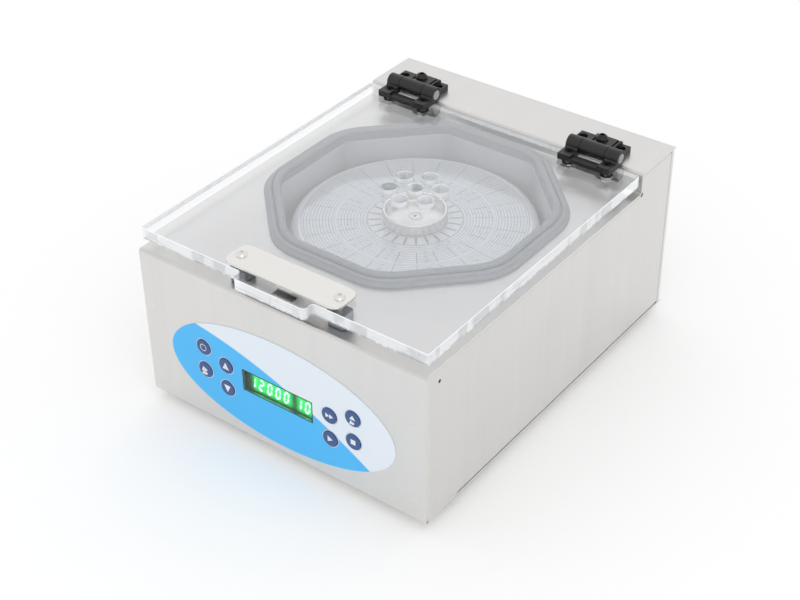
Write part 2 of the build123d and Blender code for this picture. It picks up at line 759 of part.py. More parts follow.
def display_lens():
    """Smoked window, flush with the overlay."""
    face = Pos(WINDOW_X, base_z + WINDOW_Z)
    face *= Rectangle(WINDOW_W - 2 * WINDOW_FIT, WINDOW_H - 2 * WINDOW_FIT)
    flange = Pos(WINDOW_X, base_z + WINDOW_Z) * Rectangle(WINDOW_W + 4, WINDOW_H + 4)
    lens_back = front_y + SHEET
    lens = along_y(face, front_y - OVERLAY_T, lens_back)
    return lens + along_y(flange, lens_back, lens_back + LENS_T - SHEET)


def key_cap(x, z):
    """Round key with a crowned face and a stem that reaches to its switch."""
    back = OVERLAY_T + KEY_FIT / 3
    front = back + KEY_T
    stem_end = BOARD_SETBACK - SWITCH_BODY_T - SWITCH_PLUNGER_T - KEY_TRAVEL - RUN_FIT
    crown_r = (KEY_R**2 + KEY_CROWN**2) / (2 * KEY_CROWN)
    crown_z = front + KEY_CROWN - crown_r
    half_way = KEY_R / 2
    crown_mid = (half_way, crown_z + math.sqrt(crown_r**2 - half_way**2))
    profile = make_face(
        [
            Line((0, -stem_end), (KEY_STEM_R, -stem_end)),
            Line((KEY_STEM_R, -stem_end), (KEY_STEM_R, back)),
            Line((KEY_STEM_R, back), (KEY_R, back)),
            Line((KEY_R, back), (KEY_R, front)),
            ThreePointArc((KEY_R, front), crown_mid, (0, front + KEY_CROWN)),
            Line((0, front + KEY_CROWN), (0, -stem_end)),
        ]
    )
    cap = revolve(Plane.XZ * profile, axis=Axis.Z)
    return Pos(x, front_y, base_z + z) * Rot(90, 0, 0) * cap


def display_module():
    """Row of digit blocks behind the lens."""
    front = front_y + LENS_T + MODULE_GAP
    place = Pos(WINDOW_X, base_z + WINDOW_Z)
    body = along_y(place * Rectangle(WINDOW_W, WINDOW_H), front, front_y + BOARD_SETBACK)
    pitch = WINDOW_W / MODULE_DIGITS
    for i in range(MODULE_DIGITS):
        digit = place * Pos((i - (MODULE_DIGITS - 1) / 2) * pitch, 0) * Rectangle(DIGIT_W, DIGIT_H)
        body -= along_y(digit, front - 1, front + DIGIT_RECESS)
    return body


def control_board():
    """Circuit board behind the front, on its four pillars."""
    board = Pos(0, base_z + OVERLAY_Z) * RectangleRounded(BOARD_W, BOARD_H, BOARD_SCREW_INSET / 2)
    for x, z in board_corner_spots:
        board -= Pos(x, base_z + z) * Circle(SCREW_R)
    return along_y(board, front_y + BOARD_SETBACK, front_y + BOARD_SETBACK + BOARD_T)


def board_standoffs():
    """Pillars and screws of the control board and of the power board."""
    back = BOARD_SETBACK + BOARD_T
    pillar = tube(STANDOFF_R, SCREW_R, -BOARD_SETBACK, -SHEET)
    screw = rod(STANDOFF_R, -back - SCREW_HEAD_T, -back) + rod(SCREW_R, -back, -SHEET)
    turn = Rot(90, 0, 0)
    solids = [
        Pos(x, front_y, base_z + z) * turn * item for x, z in board_corner_spots for item in (pillar, screw)
    ]
    low = base_z + SHEET
    leg = tube(STANDOFF_R, SCREW_R, low, low + POWER_BOARD_LIFT)
    top = low + POWER_BOARD_LIFT + BOARD_T
    leg_screw = rod(SCREW_R, low, top) + rod(STANDOFF_R, top, top + SCREW_HEAD_T)
    solids += [Pos(x, y, 0) * item for x, y in power_corner_spots() for item in (leg, leg_screw)]
    return grouped(solids)


def key_switches():
    """Small push switches on the control board, one behind each key."""
    body_front = BOARD_SETBACK - SWITCH_BODY_T
    body = Pos(0, 0, -(BOARD_SETBACK + body_front) / 2) * Box(SWITCH_W, SWITCH_W, SWITCH_BODY_T)
    body += rod(SWITCH_PLUNGER_R, -body_front, -body_front + SWITCH_PLUNGER_T)
    switch = Rot(90, 0, 0) * body
    return grouped(Pos(x, front_y, base_z + z) * switch for x, z in KEY_SPOTS.values())


# Lid lock

def lock_bracket():
    """Channel under the deck that holds the lock's solenoid."""
    half = SOLENOID_W / 2 + SHEET / 2
    top = deck_z - SHEET * 1.5
    low = bolt_z - SOLENOID_W / 2
    path = [(-half, low), (-half, top), (half, top), (half, low)]
    front = solenoid_front()
    return along_y(bent_profile(path, SHEET, SHEET * 0.75), front, front + SOLENOID_L)


def solenoid_front():
    """Y of the solenoid's front face."""
    return strike_y + STRIKE_T + SOLENOID_FRONT_GAP


def lock_solenoid():
    """Coil block with a bore for the bolt."""
    front = solenoid_front()
    top = deck_z - 2 * SHEET
    low = bolt_z - SOLENOID_W / 2
    half = SOLENOID_W / 2
    body = block(-half, half, front, front + SOLENOID_L, low, top)
    body = fillet(body.edges().filter_by(Axis.Y), BEND)
    bore = Pos(0, bolt_z) * Circle(BOLT_R + RUN_FIT)
    return body - along_y(bore, front - 1, front + SOLENOID_L + 1)


def lock_bolt():
    """Plunger that slides forward into the strike's window."""
    tip = strike_y + STRIKE_T + BOLT_REST_GAP
    bolt = along_y(Pos(0, bolt_z) * Circle(BOLT_R), tip, tip + BOLT_LENGTH)
    return chamfer(bolt.faces().sort_by(Axis.Y)[0].edges(), BOLT_R * 0.25)


def lid_strike():
    """Angle under the lid whose leg drops through the deck and has the bolt's window."""
    low = deck_z - STRIKE_DROP
    half_t = STRIKE_T / 2
    path = [
        (strike_y + half_t, low),
        (strike_y + half_t, lid_bottom - half_t),
        (strike_y + STRIKE_FOOT, lid_bottom - half_t),
    ]
    strike = along_x(bent_profile(path, STRIKE_T, STRIKE_T), -STRIKE_W / 2, STRIKE_W / 2)
    window = Pos(0, bolt_z) * Rectangle(STRIKE_WINDOW_W, STRIKE_WINDOW_H)
    return strike - along_y(window, strike_y - 1, strike_y + STRIKE_T + 1)


# Lid

def lid_outline():
    """The lid's outline, with the front tab flowing out in two S-curves."""
    half_flare = TAB_FLARE / 2
    mid_y = (lid_front_y + tab_y) / 2
    right = []
    flare_x = TAB_HALF_W + TAB_FLARE
    for sx in (1, -1):
        top = (sx * flare_x, lid_front_y)
        middle = (sx * (TAB_HALF_W + half_flare), mid_y)
        bottom = (sx * TAB_HALF_W, tab_y)
        upper = TangentArc(top, middle, tangent=(-sx, 0))
        lower = TangentArc(bottom, middle, tangent=(sx, 0))
        right += [upper, lower]
    edges = right + [
        Line((-TAB_HALF_W, tab_y), (TAB_HALF_W, tab_y)),
        Line((flare_x, lid_front_y), (lid_half_w, lid_front_y)),
        Line((lid_half_w, lid_front_y), (lid_half_w, lid_rear_y)),
        Line((lid_half_w, lid_rear_y), (-lid_half_w, lid_rear_y)),
        Line((-lid_half_w, lid_rear_y), (-lid_half_w, lid_front_y)),
        Line((-lid_half_w, lid_front_y), (-flare_x, lid_front_y)),
    ]
    return make_face(edges)


def lid_panel():
    """Thick clear lid with a ring of vents over the rotor's hub."""
    panel = along_z(lid_outline(), lid_bottom, lid_top)
    corners = panel.edges().filter_by(Axis.Z).filter_by(lambda e: abs(e.center().X) > lid_half_w - 1)
    panel = fillet(corners, LID_CORNER_R)
    vent = rod(VENT_R, lid_bottom - 1, lid_top + 1)
    panel -= Pos(0, rotor_y, 0) * vent
    for i in range(VENT_COUNT):
        angle = math.radians(30 + 360 / VENT_COUNT * i)
        panel -= Pos(VENT_RING_R * math.cos(angle), rotor_y + VENT_RING_R * math.sin(angle), 0) * vent
    for x, y in grip_screw_spots:
        panel -= Pos(x, y, 0) * rod(GRIP_SCREW_R, lid_bottom - 1, lid_top + 1)
    for x, y in hinge_screw_spots:
        panel -= Pos(x, y, 0) * rod(HINGE_SCREW_R, lid_bottom - 1, lid_top + 1)
    return panel


def grip_plate():
    """Steel plate over the front of the lid, with rounded corners."""
    face = Pos(GRIP_SHIFT, grip_y) * RectangleRounded(GRIP_W, GRIP_D, GRIP_CORNER_R)
    for x, y in grip_screw_spots:
        face -= Pos(x, y) * Circle(GRIP_SCREW_R)
    low = lid_top + GRIP_LIFT
    plate = along_z(face, low, low + GRIP_T)
    rims = [side.outer_wire().edges() for side in plate.faces().filter_by(Axis.Z)]
    return fillet(rims[0] + rims[1], GRIP_T * 0.2)


def grip_spacers():
    """Round spacers between the grip plate and the lid."""
    spacer = tube(SPACER_R, GRIP_SCREW_R, lid_top, lid_top + GRIP_LIFT)
    return grouped(Pos(x, y, 0) * spacer for x, y in grip_screw_spots)


def button_head(radius, height):
    """Domed screw head with a hexagon socket, standing on Z = 0."""
    profile = make_face(
        [
            Line((0, 0), (radius, 0)),
            Line((radius, 0), (radius, height * 0.18)),
            ThreePointArc((radius, height * 0.18), (radius * 0.8, height * 0.66), (radius * 0.42, height)),
            Line((radius * 0.42, height), (0, height)),
            Line((0, height), (0, 0)),
        ]
    )
    head = revolve(Plane.XZ * profile, axis=Axis.Z)
    socket = hexagon(radius * HEX_AF / BUTTON_HEAD_R)
    return head - along_z(socket, height - HEX_DEPTH, height + 1)


def lid_screws():
    """Screws of the grip plate and of the hinges' lid leaves, with their nuts."""
    head_z = lid_top + GRIP_LIFT + GRIP_T
    grip_screw = Pos(0, 0, head_z) * button_head(BUTTON_HEAD_R, BUTTON_HEAD_T)
    grip_screw += rod(GRIP_SCREW_R, lid_bottom - BUFFER_DECK_GAP * 6, head_z)
    solids = [Pos(x, y, 0) * grip_screw for x, y in grip_screw_spots]
    seat_z = lid_top + EAR_H - COUNTERBORE_DEPTH
    washer_low = lid_bottom - WASHER_T
    cap_r = COUNTERBORE_R - HINGE_SCREW_GAP
    cap = rod(cap_r, seat_z, lid_top + EAR_H - HINGE_SCREW_GAP)
    cap -= along_z(hexagon(HEX_AF), seat_z + HEX_DEPTH, lid_top + EAR_H)
    cap += rod(HINGE_SCREW_R, washer_low - NUT_T, seat_z)
    nut = along_z(hexagon(2 * NUT_R) - Circle(HINGE_SCREW_R), washer_low - NUT_T, washer_low)
    solids += [Pos(x, y, 0) * item for x, y in hinge_screw_spots for item in (cap, nut)]
    return grouped(solids)


def lid_buffers():
    """Two rubber pads under the front of the lid, held by the grip plate's screws."""
    low = deck_z + BUFFER_DECK_GAP
    pad = along_z(RectangleRounded(BUFFER_W, BUFFER_D, BUFFER_CORNER_R), low, lid_bottom)
    pad -= rod(GRIP_SCREW_R, lid_bottom - BUFFER_DECK_GAP * 6, lid_bottom + 1)
    return grouped(Pos(x, y, 0) * pad for x, y in grip_screw_spots)


# Hinges

def hinge_side_plane(x0, x1, sketch):
    """Extrude a hinge section drawn about the pin's centre from x0 to x1."""
    return Pos(0, axis_y, axis_z) * along_x(sketch, x0, x1)


def hinge_lid_leaf(hx):
    """Leaf on the lid: two screw ears, a front bar and the two outer knuckles."""
    floor = -HINGE_AXIS_LIFT
    half = HINGE_W / 2
    knuckle_in = CENTRE_KNUCKLE_W / 2 + KNUCKLE_GAP
    ear = Polygon(
        (-LID_EAR_REACH, floor),
        (-KNUCKLE_R * 0.5, floor),
        (-KNUCKLE_R * 0.5, 0),
        (-KNUCKLE_R * 0.98, 0),
        (-KNUCKLE_R * 1.15, floor + EAR_H),
        (-LID_EAR_REACH, floor + EAR_H),
        align=None,
    )
    leaf = None
    for sx in (-1, 1):
        x0, x1 = sorted((sx * half, sx * knuckle_in))
        knuckle = hinge_side_plane(x0, x1, Circle(KNUCKLE_R))
        e0, e1 = sorted((sx * half, sx * (half - EAR_W)))
        piece = knuckle + hinge_side_plane(e0, e1, ear)
        leaf = piece if leaf is None else leaf + piece
    bar = Pos(-LID_EAR_REACH + BAR_D / 2, floor + BAR_H / 2) * Rectangle(BAR_D, BAR_H)
    leaf += hinge_side_plane(-half, half, bar)
    leaf = Pos(hx, 0, 0) * leaf
    for x, y in hinge_screw_spots:
        if abs(x - hx) < half:
            leaf -= Pos(x, y, 0) * rod(HINGE_SCREW_R, lid_top - 1, lid_top + EAR_H + 1)
            leaf -= Pos(x, y, 0) * rod(COUNTERBORE_R, lid_top + EAR_H - COUNTERBORE_DEPTH, lid_top + EAR_H + 1)
    return leaf - Pos(hx, 0, 0) * hinge_side_plane(-half - 1, half + 1, Circle(PIN_R))


def hinge_base(hx):
    """Leaf on the case: centre knuckle, torque block and two outer ears."""
    floor = strip_z - axis_z
    half = HINGE_W / 2
    centre_half = CENTRE_KNUCKLE_W / 2
    block_top = floor + TORQUE_BLOCK_H
    neck = Polygon(
        (0, floor),
        (BASE_EAR_REACH + 1, floor),
        (BASE_EAR_REACH + 1, block_top - 1.5),
        (BASE_EAR_REACH - 0.5, block_top),
        (KNUCKLE_R * 1.25, block_top),
        (KNUCKLE_R * 0.8, KNUCKLE_R * 0.6),
        (0, KNUCKLE_R * 0.6),
        align=None,
    )
    leaf = hinge_side_plane(-centre_half, centre_half, Circle(KNUCKLE_R))
    leaf += hinge_side_plane(-centre_half, centre_half, neck)
    ear_start = KNUCKLE_R + BASE_EAR_GAP
    ear = Pos((ear_start + BASE_EAR_REACH) / 2, floor + EAR_H / 2)
    ear *= Rectangle(BASE_EAR_REACH - ear_start, EAR_H)
    ear_ends = (BASE_LEAF_SHIFT - BASE_LEAF_W / 2, BASE_LEAF_SHIFT + BASE_LEAF_W / 2)
    leaf += hinge_side_plane(ear_ends[0], ear_ends[1], ear)
    groove_w = 1.6
    for sx in (-1, 1):
        x = sx * (centre_half - 2.4)
        groove = Pos((KNUCKLE_R * 1.4 + BASE_EAR_REACH + 2) / 2, block_top)
        groove *= Rectangle(BASE_EAR_REACH + 2 - KNUCKLE_R * 1.4, 3.0)
        leaf -= hinge_side_plane(x - groove_w / 2, x + groove_w / 2, groove)
    leaf = Pos(hx, 0, 0) * leaf
    leaf -= block(hx - half - 1, hx + half + 1, axis_y - KNUCKLE_R - 1, axis_y, 0, strip_z - SHEET)
    for x, y in hinge_stud_spots:
        if abs(x - hx) < HINGE_W:
            leaf -= Pos(x, y, 0) * rod(STUD_R, strip_z - 1, strip_z + EAR_H + 1)
            leaf -= Pos(x, y, 0) * rod(COUNTERBORE_R, strip_z + EAR_H - COUNTERBORE_DEPTH, strip_z + EAR_H + 1)
    torque_y = axis_y + BASE_STUD_REACH
    torque_x = hx + BASE_LEAF_SHIFT
    leaf -= Pos(torque_x, torque_y, 0) * rod(HINGE_SCREW_R, strip_z + 1, strip_z + TORQUE_BLOCK_H + 1)
    return leaf - Pos(hx, 0, 0) * hinge_side_plane(-half - 1, half + 1, Circle(PIN_R + RUN_FIT))


def hinge_torque_screws():
    """Large button-head screws that set each hinge's friction."""
    screw = Pos(0, 0, strip_z + TORQUE_BLOCK_H) * button_head(TORQUE_HEAD_R, TORQUE_HEAD_T)
    screw += rod(HINGE_SCREW_R, strip_z + 1, strip_z + TORQUE_BLOCK_H)
    y = axis_y + BASE_STUD_REACH
    return grouped(Pos(hx + BASE_LEAF_SHIFT, y, 0) * screw for hx in (-hinge_x, hinge_x))


def hinge_pins():
    """Steel pins, fixed in the lid's knuckles and turning in the case's."""
    pin = hinge_side_plane(-HINGE_W / 2, HINGE_W / 2, Circle(PIN_R))
    return grouped(Pos(hx, 0, 0) * pin for hx in (-hinge_x, hinge_x))


def hinge_washers():
    """Round washers under the lid that spread the hinge screws' load."""
    washer = tube(WASHER_R, HINGE_SCREW_R, lid_bottom - WASHER_T, lid_bottom)
    return grouped(Pos(x, y, 0) * washer for x, y in hinge_screw_spots)


# Rotor

def on_rotor(shape, z=0.0):
    """Move a part made on the Z axis to the rotor's axis."""
    return Pos(0, rotor_y, z) * shape


def cover_shoulder(inset):
    """Points of the cover's rounded shoulder, moved inwards by a wall thickness."""
    reach = COVER_SHOULDER_W - inset
    drop = COVER_SHOULDER_DROP
    steps = 6
    turns = [math.pi / 2 * i / steps for i in range(steps + 1)]
    return [
        (cover_field_r + reach * math.sin(turn), -inset - drop * (1 - math.cos(turn)))
        for turn in turns
    ]


def rotor_cover():
    """Clear cover of the rotor: a flat field, a rounded shoulder and an outer skirt."""
    inner = cover_shoulder(COVER_T)
    outer = cover_shoulder(0)
    profile = [(SHAFT_R, -COVER_T)] + inner
    profile += [(rotor_r - COVER_T, -COVER_SKIRT_H), (rotor_r, -COVER_SKIRT_H)]
    profile += outer[::-1] + [(SHAFT_R, 0)]
    return on_rotor(turned(profile), cover_z)


def rotor_disc():
    """Disc with radial grooves for the tubes, a rim that stops them, and a hub sleeve."""
    top = -COVER_T - DISC_CLEARANCE
    outer = rotor_r - COVER_T - DISC_CLEARANCE - 1.5
    rim_in = outer - DISC_RIM_T
    low = top - DISC_RIM_H
    web_top = low + DISC_T
    hub_low = low - HUB_H
    profile = [
        (SHAFT_R, hub_low),
        (HUB_SLEEVE_R, hub_low),
        (HUB_SLEEVE_R, low - 3),
        (HUB_R, low),
        (outer - 1, low),
        (outer, low + 1),
        (outer, top - COVER_SHOULDER_DROP - 1),
        (cover_field_r - 1, top),
        (rim_in, top),
        (rim_in, web_top),
        (HUB_R, web_top),
        (HUB_R, top),
        (SHAFT_R, top),
    ]
    disc = turned(profile)
    groove_l = rim_in - TUBE_INNER_R
    groove = Pos(TUBE_INNER_R + groove_l / 2, 0, web_top) * Box(groove_l, 2 * TUBE_GROOVE_R, 2 * TUBE_GROOVE_R)
    for i in range(TUBE_COUNT):
        disc -= Rot(0, 0, 360 / TUBE_COUNT * i) * groove
    return on_rotor(disc, cover_z)


def hub_cup():
    """Open metal cup that caps the rotor and serves as its knob."""
    profile = [
        (SHAFT_R, 0),
        (CUP_R - 0.8, 0),
        (CUP_R, 0.8),
        (CUP_R, CUP_H - 0.5),
        (CUP_R - 0.5, CUP_H),
        (CUP_R - CUP_WALL + 0.3, CUP_H),
        (CUP_R - CUP_WALL, CUP_H - 0.4),
        (CUP_R - CUP_WALL, CUP_FLOOR + 0.6),
        (CUP_R - CUP_WALL - 0.6, CUP_FLOOR),
        (CUP_BOSS_R + 1, CUP_FLOOR),
        (CUP_BOSS_R, CUP_FLOOR + 0.3),
        (CUP_BOSS_R, CUP_FLOOR + CUP_BOSS_H),
        (SHAFT_R, CUP_FLOOR + CUP_BOSS_H),
    ]
    return on_rotor(turned(profile), cover_z)


def motor_low():
    """Z of the motor can's underside."""
    return plate_z - MOTOR_H


def rotor_shaft():
    """Shaft from the lower bearing to the hub cup, with a socket in its end."""
    top = cover_z + CUP_FLOOR + CUP_BOSS_H - 0.6
    low = motor_low() + MOTOR_WALL
    shaft = rod(SHAFT_R, low, top)
    shaft = chamfer(shaft.edges().filter_by(GeomType.CIRCLE), 0.5)
    shaft -= along_z(hexagon(HEX_AF), top - 2 * HEX_DEPTH, top + 1)
    return on_rotor(shaft)


def motor_magnet():
    """Magnet sleeve on the shaft inside the motor."""
    middle = plate_z - MOTOR_H / 2
    return on_rotor(tube(MAGNET_R, SHAFT_R, middle - MAGNET_H / 2, middle + MAGNET_H / 2))


# Motor

def motor_can():
    """Motor can with a seat for the lower bearing."""
    low = motor_low()
    seat_top = low + MOTOR_WALL + BEARING_W
    profile = [
        (SHAFT_R + 1, low),
        (MOTOR_R, low),
        (MOTOR_R, plate_z - MOTOR_WALL),
        (MOTOR_R - MOTOR_WALL, plate_z - MOTOR_WALL),
        (MOTOR_R - MOTOR_WALL, low + MOTOR_WALL),
        (BEARING_R + 2, low + MOTOR_WALL),
        (BEARING_R + 2, seat_top),
        (BEARING_R, seat_top),
        (BEARING_R, low + MOTOR_WALL),
        (SHAFT_R + 1, low + MOTOR_WALL),
    ]
    return on_rotor(turned(profile))


def motor_end_cap():
    """Top of the motor, with the upper bearing's seat."""
    low = plate_z - MOTOR_WALL
    seat_low = low - BEARING_W + MOTOR_WALL
    profile = [
        (BEARING_R, seat_low),
        (BEARING_R + 2, seat_low),
        (BEARING_R + 2, low),
        (MOTOR_R, low),
        (MOTOR_R, plate_z),
        (SHAFT_R + 1, plate_z),
        (SHAFT_R + 1, plate_z - 0.5),
        (BEARING_R, plate_z - 0.5),
    ]
    return on_rotor(turned(profile))


def motor_stator():
    """Laminated ring with slots for the windings."""
    middle = plate_z - MOTOR_H / 2
    face = Circle(MOTOR_R - MOTOR_WALL) - Circle(STATOR_BORE_R)
    slot_in = STATOR_BORE_R + 2.0
    slot_out = STATOR_R - 3.0
    slot = Pos((slot_in + slot_out) / 2, 0) * Rectangle(slot_out - slot_in, STATOR_SLOT_W)
    mouth = Pos(STATOR_BORE_R + 1, 0) * Rectangle(4.0, 1.4)
    for i in range(STATOR_SLOTS):
        turn = Rot(0, 0, 360 / STATOR_SLOTS * i)
        face -= turn * slot
        face -= turn * mouth
    return on_rotor(along_z(face, middle - STATOR_H / 2, middle + STATOR_H / 2))


def motor_bearings():
    """The motor's two ball bearings."""
    bearing = tube(BEARING_R, SHAFT_R + BEARING_FIT, 0, BEARING_W)
    low = motor_low() + MOTOR_WALL
    high = plate_z - 0.5 - BEARING_W
    return grouped(on_rotor(bearing, z) for z in (low, high))


def motor_plate():
    """Plate that carries the motor on its isolators."""
    face = Pos(0, rotor_y) * RectangleRounded(MOTOR_PLATE_W, MOTOR_PLATE_W, ISOLATOR_R)
    face -= Pos(0, rotor_y) * Circle(HUB_SLEEVE_R + 3)
    for x, y in motor_mount_spots:
        face -= Pos(x, y) * Circle(SCREW_R)
    return along_z(face, plate_z, plate_z + MOTOR_PLATE_T)


def motor_isolators():
    """Waisted rubber mounts under the plate's corners."""
    waist = ISOLATOR_H / 2
    low = plate_z - ISOLATOR_H
    profile = make_face(
        [
            Line((SCREW_R, 0), (ISOLATOR_R, 0)),
            ThreePointArc((ISOLATOR_R, 0), (ISOLATOR_WAIST_R, waist), (ISOLATOR_R, ISOLATOR_H)),
            Line((ISOLATOR_R, ISOLATOR_H), (SCREW_R, ISOLATOR_H)),
            Line((SCREW_R, ISOLATOR_H), (SCREW_R, 0)),
        ]
    )
    mount = revolve(Plane.XZ * profile, axis=Axis.Z)
    return grouped(Pos(x, y, low) * mount for x, y in motor_mount_spots)


def motor_posts():
    """Pillars from the base to the isolators, with the screws through plate and mount."""
    low = base_z + SHEET
    high = plate_z - ISOLATOR_H
    post = rod(POST_R, low, high)
    post -= rod(SCREW_R, high - 4, high + 1)
    screw = rod(SCREW_R, high - 4, plate_z + MOTOR_PLATE_T)
    screw += rod(SCREW_HEAD_R, plate_z + MOTOR_PLATE_T, plate_z + MOTOR_PLATE_T + SCREW_HEAD_T)
    return grouped(Pos(x, y, 0) * item for x, y in motor_mount_spots for item in (post, screw))


# Power board

def power_corner_spots():
    """Centres of the power board's legs."""
    half_w = POWER_BOARD_W / 2 - BOARD_SCREW_INSET
    ys = (power_front_y + BOARD_SCREW_INSET, power_rear_y - BOARD_SCREW_INSET)
    return [(power_x + sx * half_w, y) for sx in (-1, 1) for y in ys]


def power_board():
    """Circuit board on legs over the base."""
    low = base_z + SHEET + POWER_BOARD_LIFT
    middle = Pos(power_x, (power_front_y + power_rear_y) / 2)
    face = middle * Rectangle(POWER_BOARD_W, power_rear_y - power_front_y)
    for x, y in power_corner_spots():
        face -= Pos(x, y) * Circle(SCREW_R)
    return along_z(face, low, low + BOARD_T)


def power_parts():
    """Capacitors, transformer and finned heat sink on the power board."""
    top = base_z + SHEET + POWER_BOARD_LIFT + BOARD_T
    can = rod(CAPACITOR_R, 0, CAPACITOR_H)
    can = fillet(can.edges().filter_by(GeomType.CIRCLE).sort_by(Axis.Z)[-1], 1.0)
    can_y = power_front_y + PARTS_EDGE_ROOM
    spread = CAPACITOR_R + 1
    solids = [Pos(power_x + dx, can_y, top) * can for dx in (-spread, spread)]
    core = block(-CORE_W / 2, CORE_W / 2, -CORE_D / 2, CORE_D / 2, 0, CORE_H)
    coil_w = CORE_W * 0.5
    winding = block(-coil_w / 2, coil_w / 2, -CORE_D * 0.62, CORE_D * 0.62, CORE_H * 0.15, CORE_H * 0.85)
    core += fillet(winding.edges().filter_by(Axis.X), 2.0)
    solids.append(Pos(power_x, (power_front_y + power_rear_y) / 2, top) * core)
    sink = block(-SINK_W / 2, SINK_W / 2, -SINK_D / 2, -SINK_D / 2 + SINK_BASE_T, 0, SINK_H)
    pitch = (SINK_W - SINK_FIN_T) / (SINK_FINS - 1)
    for i in range(SINK_FINS):
        x = -SINK_W / 2 + SINK_FIN_T / 2 + i * pitch
        sink += block(x - SINK_FIN_T / 2, x + SINK_FIN_T / 2, -SINK_D / 2, SINK_D / 2, 0, SINK_H)
    solids.append(Pos(power_x, power_rear_y - PARTS_EDGE_ROOM, top) * sink)
    return grouped(solids)


# Rear fittings

def inlet_well():
    """Outline of the mains inlet's well, two corners bevelled."""
    w = INLET_WELL_W / 2
    h = INLET_WELL_H / 2
    b = INLET_BEVEL
    return Polygon((-w, -h), (w, -h), (w, h - b), (w - b, h), (-w + b, h), (-w, h - b), align=None)


def inlet_socket():
    """Mains inlet with its flange on the rear panel."""
    place = Pos(inlet_x, rear_fitting_z)
    flange = place * RectangleRounded(INLET_FLANGE_W, INLET_FLANGE_H, 2.0)
    body = along_y(flange, back_y, back_y + INLET_FLANGE_T)
    shank = place * Rectangle(INLET_BODY_W, INLET_BODY_H)
    body += along_y(shank, back_y - INLET_BODY_D, back_y)
    well_end = back_y + INLET_FLANGE_T - INLET_WELL_D
    body -= along_y(place * inlet_well(), well_end, back_y + INLET_FLANGE_T + 1)
    return body


def inlet_pins():
    """The inlet's three blades."""
    y0 = back_y + INLET_FLANGE_T - INLET_WELL_D
    solids = []
    for dx, dz in ((-BLADE_SPREAD, -BLADE_OFFSET), (0, BLADE_OFFSET), (BLADE_SPREAD, -BLADE_OFFSET)):
        face = Pos(inlet_x + dx, rear_fitting_z + dz) * Rectangle(BLADE_W, BLADE_H)
        blade = along_y(face, y0, y0 + BLADE_L)
        solids.append(chamfer(blade.faces().sort_by(Axis.Y)[-1].edges(), 0.4))
    return grouped(solids)


def switch_frame():
    """Frame and body of the rocker switch, with the rocker's pivot pin."""
    place = Pos(rocker_x, rear_fitting_z)
    flange = place * RectangleRounded(ROCKER_FRAME_W, ROCKER_FRAME_H, 1.5)
    body = along_y(flange, back_y, back_y + ROCKER_FRAME_T)
    shank_w = ROCKER_FRAME_W - 2 * ROCKER_FRAME_T
    shank_h = ROCKER_FRAME_H - 2 * ROCKER_FRAME_T
    body += along_y(place * Rectangle(shank_w, shank_h), back_y - ROCKER_BODY_D, back_y)
    well = place * Rectangle(ROCKER_W + 2 * ROCKER_FIT, ROCKER_H + 2 * ROCKER_FIT)
    body -= along_y(well, back_y - ROCKER_BODY_D + 2, back_y + ROCKER_FRAME_T + 1)
    pin = Pos(0, back_y, rear_fitting_z) * along_x(Circle(ROCKER_PIN_R), -shank_w / 2, shank_w / 2)
    return body + Pos(rocker_x, 0, 0) * pin


def switch_rocker():
    """Rocker with its upper half pressed in, pivoting on the frame's pin."""
    half = ROCKER_H / 2
    face = Polygon(
        (-4.5, -2.6),
        (0.2, -half),
        (ROCKER_PROUD, -half),
        (ROCKER_PROUD * 0.5, 0),
        (ROCKER_PROUD, half),
        (0.2, half),
        (-4.5, 2.6),
        align=None,
    )
    rocker = along_x(face - Circle(ROCKER_PIN_R + RUN_FIT), -ROCKER_W / 2, ROCKER_W / 2)
    rocker = Rot(ROCKER_TILT, 0, 0) * rocker
    return Pos(rocker_x, back_y, rear_fitting_z) * rocker


save("case_shell", case_shell())
save("side_panel_left", side_panel(-1))
save("side_panel_right", side_panel(1))
save("rear_panel", rear_panel())
save("base_plate", base_plate())
save("rubber_feet", rubber_feet())
save("case_screws", case_screws())
save("panel_studs", panel_studs())
save("chamber_tub", chamber_tub())
save("chamber_floor", chamber_floor())
save("chamber_gasket", chamber_gasket())
save("front_overlay", front_overlay())
save("display_lens", display_lens())
for key_name, (key_x, key_z) in KEY_SPOTS.items():
    save(key_name, key_cap(key_x, key_z))
save("display_module", display_module())
save("control_board", control_board())
save("board_standoffs", board_standoffs())
save("key_switches", key_switches())
save("lock_bracket", lock_bracket())
save("lock_solenoid", lock_solenoid())
save("lock_bolt", lock_bolt())
save("lid_strike", lid_strike())
save("lid_panel", lid_panel())
save("grip_plate", grip_plate())
save("grip_spacers", grip_spacers())
save("lid_screws", lid_screws())
save("lid_buffers", lid_buffers())
for side_name, middle_x in (("left", -hinge_x), ("right", hinge_x)):
    save(f"hinge_lid_leaf_{side_name}", hinge_lid_leaf(middle_x))
    save(f"hinge_base_{side_name}", hinge_base(middle_x))
save("hinge_torque_screws", hinge_torque_screws())
save("hinge_pins", hinge_pins())
save("hinge_washers", hinge_washers())
save("rotor_cover", rotor_cover())
save("rotor_disc", rotor_disc())
save("hub_cup", hub_cup())
save("rotor_shaft", rotor_shaft())
save("motor_magnet", motor_magnet())
save("motor_can", motor_can())
save("motor_end_cap", motor_end_cap())
save("motor_stator", motor_stator())
save("motor_bearings", motor_bearings())
save("motor_plate", motor_plate())
save("motor_isolators", motor_isolators())
save("motor_posts", motor_posts())
save("power_board", power_board())
save("power_parts", power_parts())
save("inlet_socket", inlet_socket())
save("inlet_pins", inlet_pins())
save("switch_frame", switch_frame())
save("switch_rocker", switch_rocker())
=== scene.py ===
"""A bench microcentrifuge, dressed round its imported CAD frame."""

import json
import logging
import math
from abc import ABC, abstractmethod
from dataclasses import dataclass, field
from enum import Enum
from typing import Any, Callable, Optional, Union

import bmesh
import bpy
from mathutils import Matrix, Vector

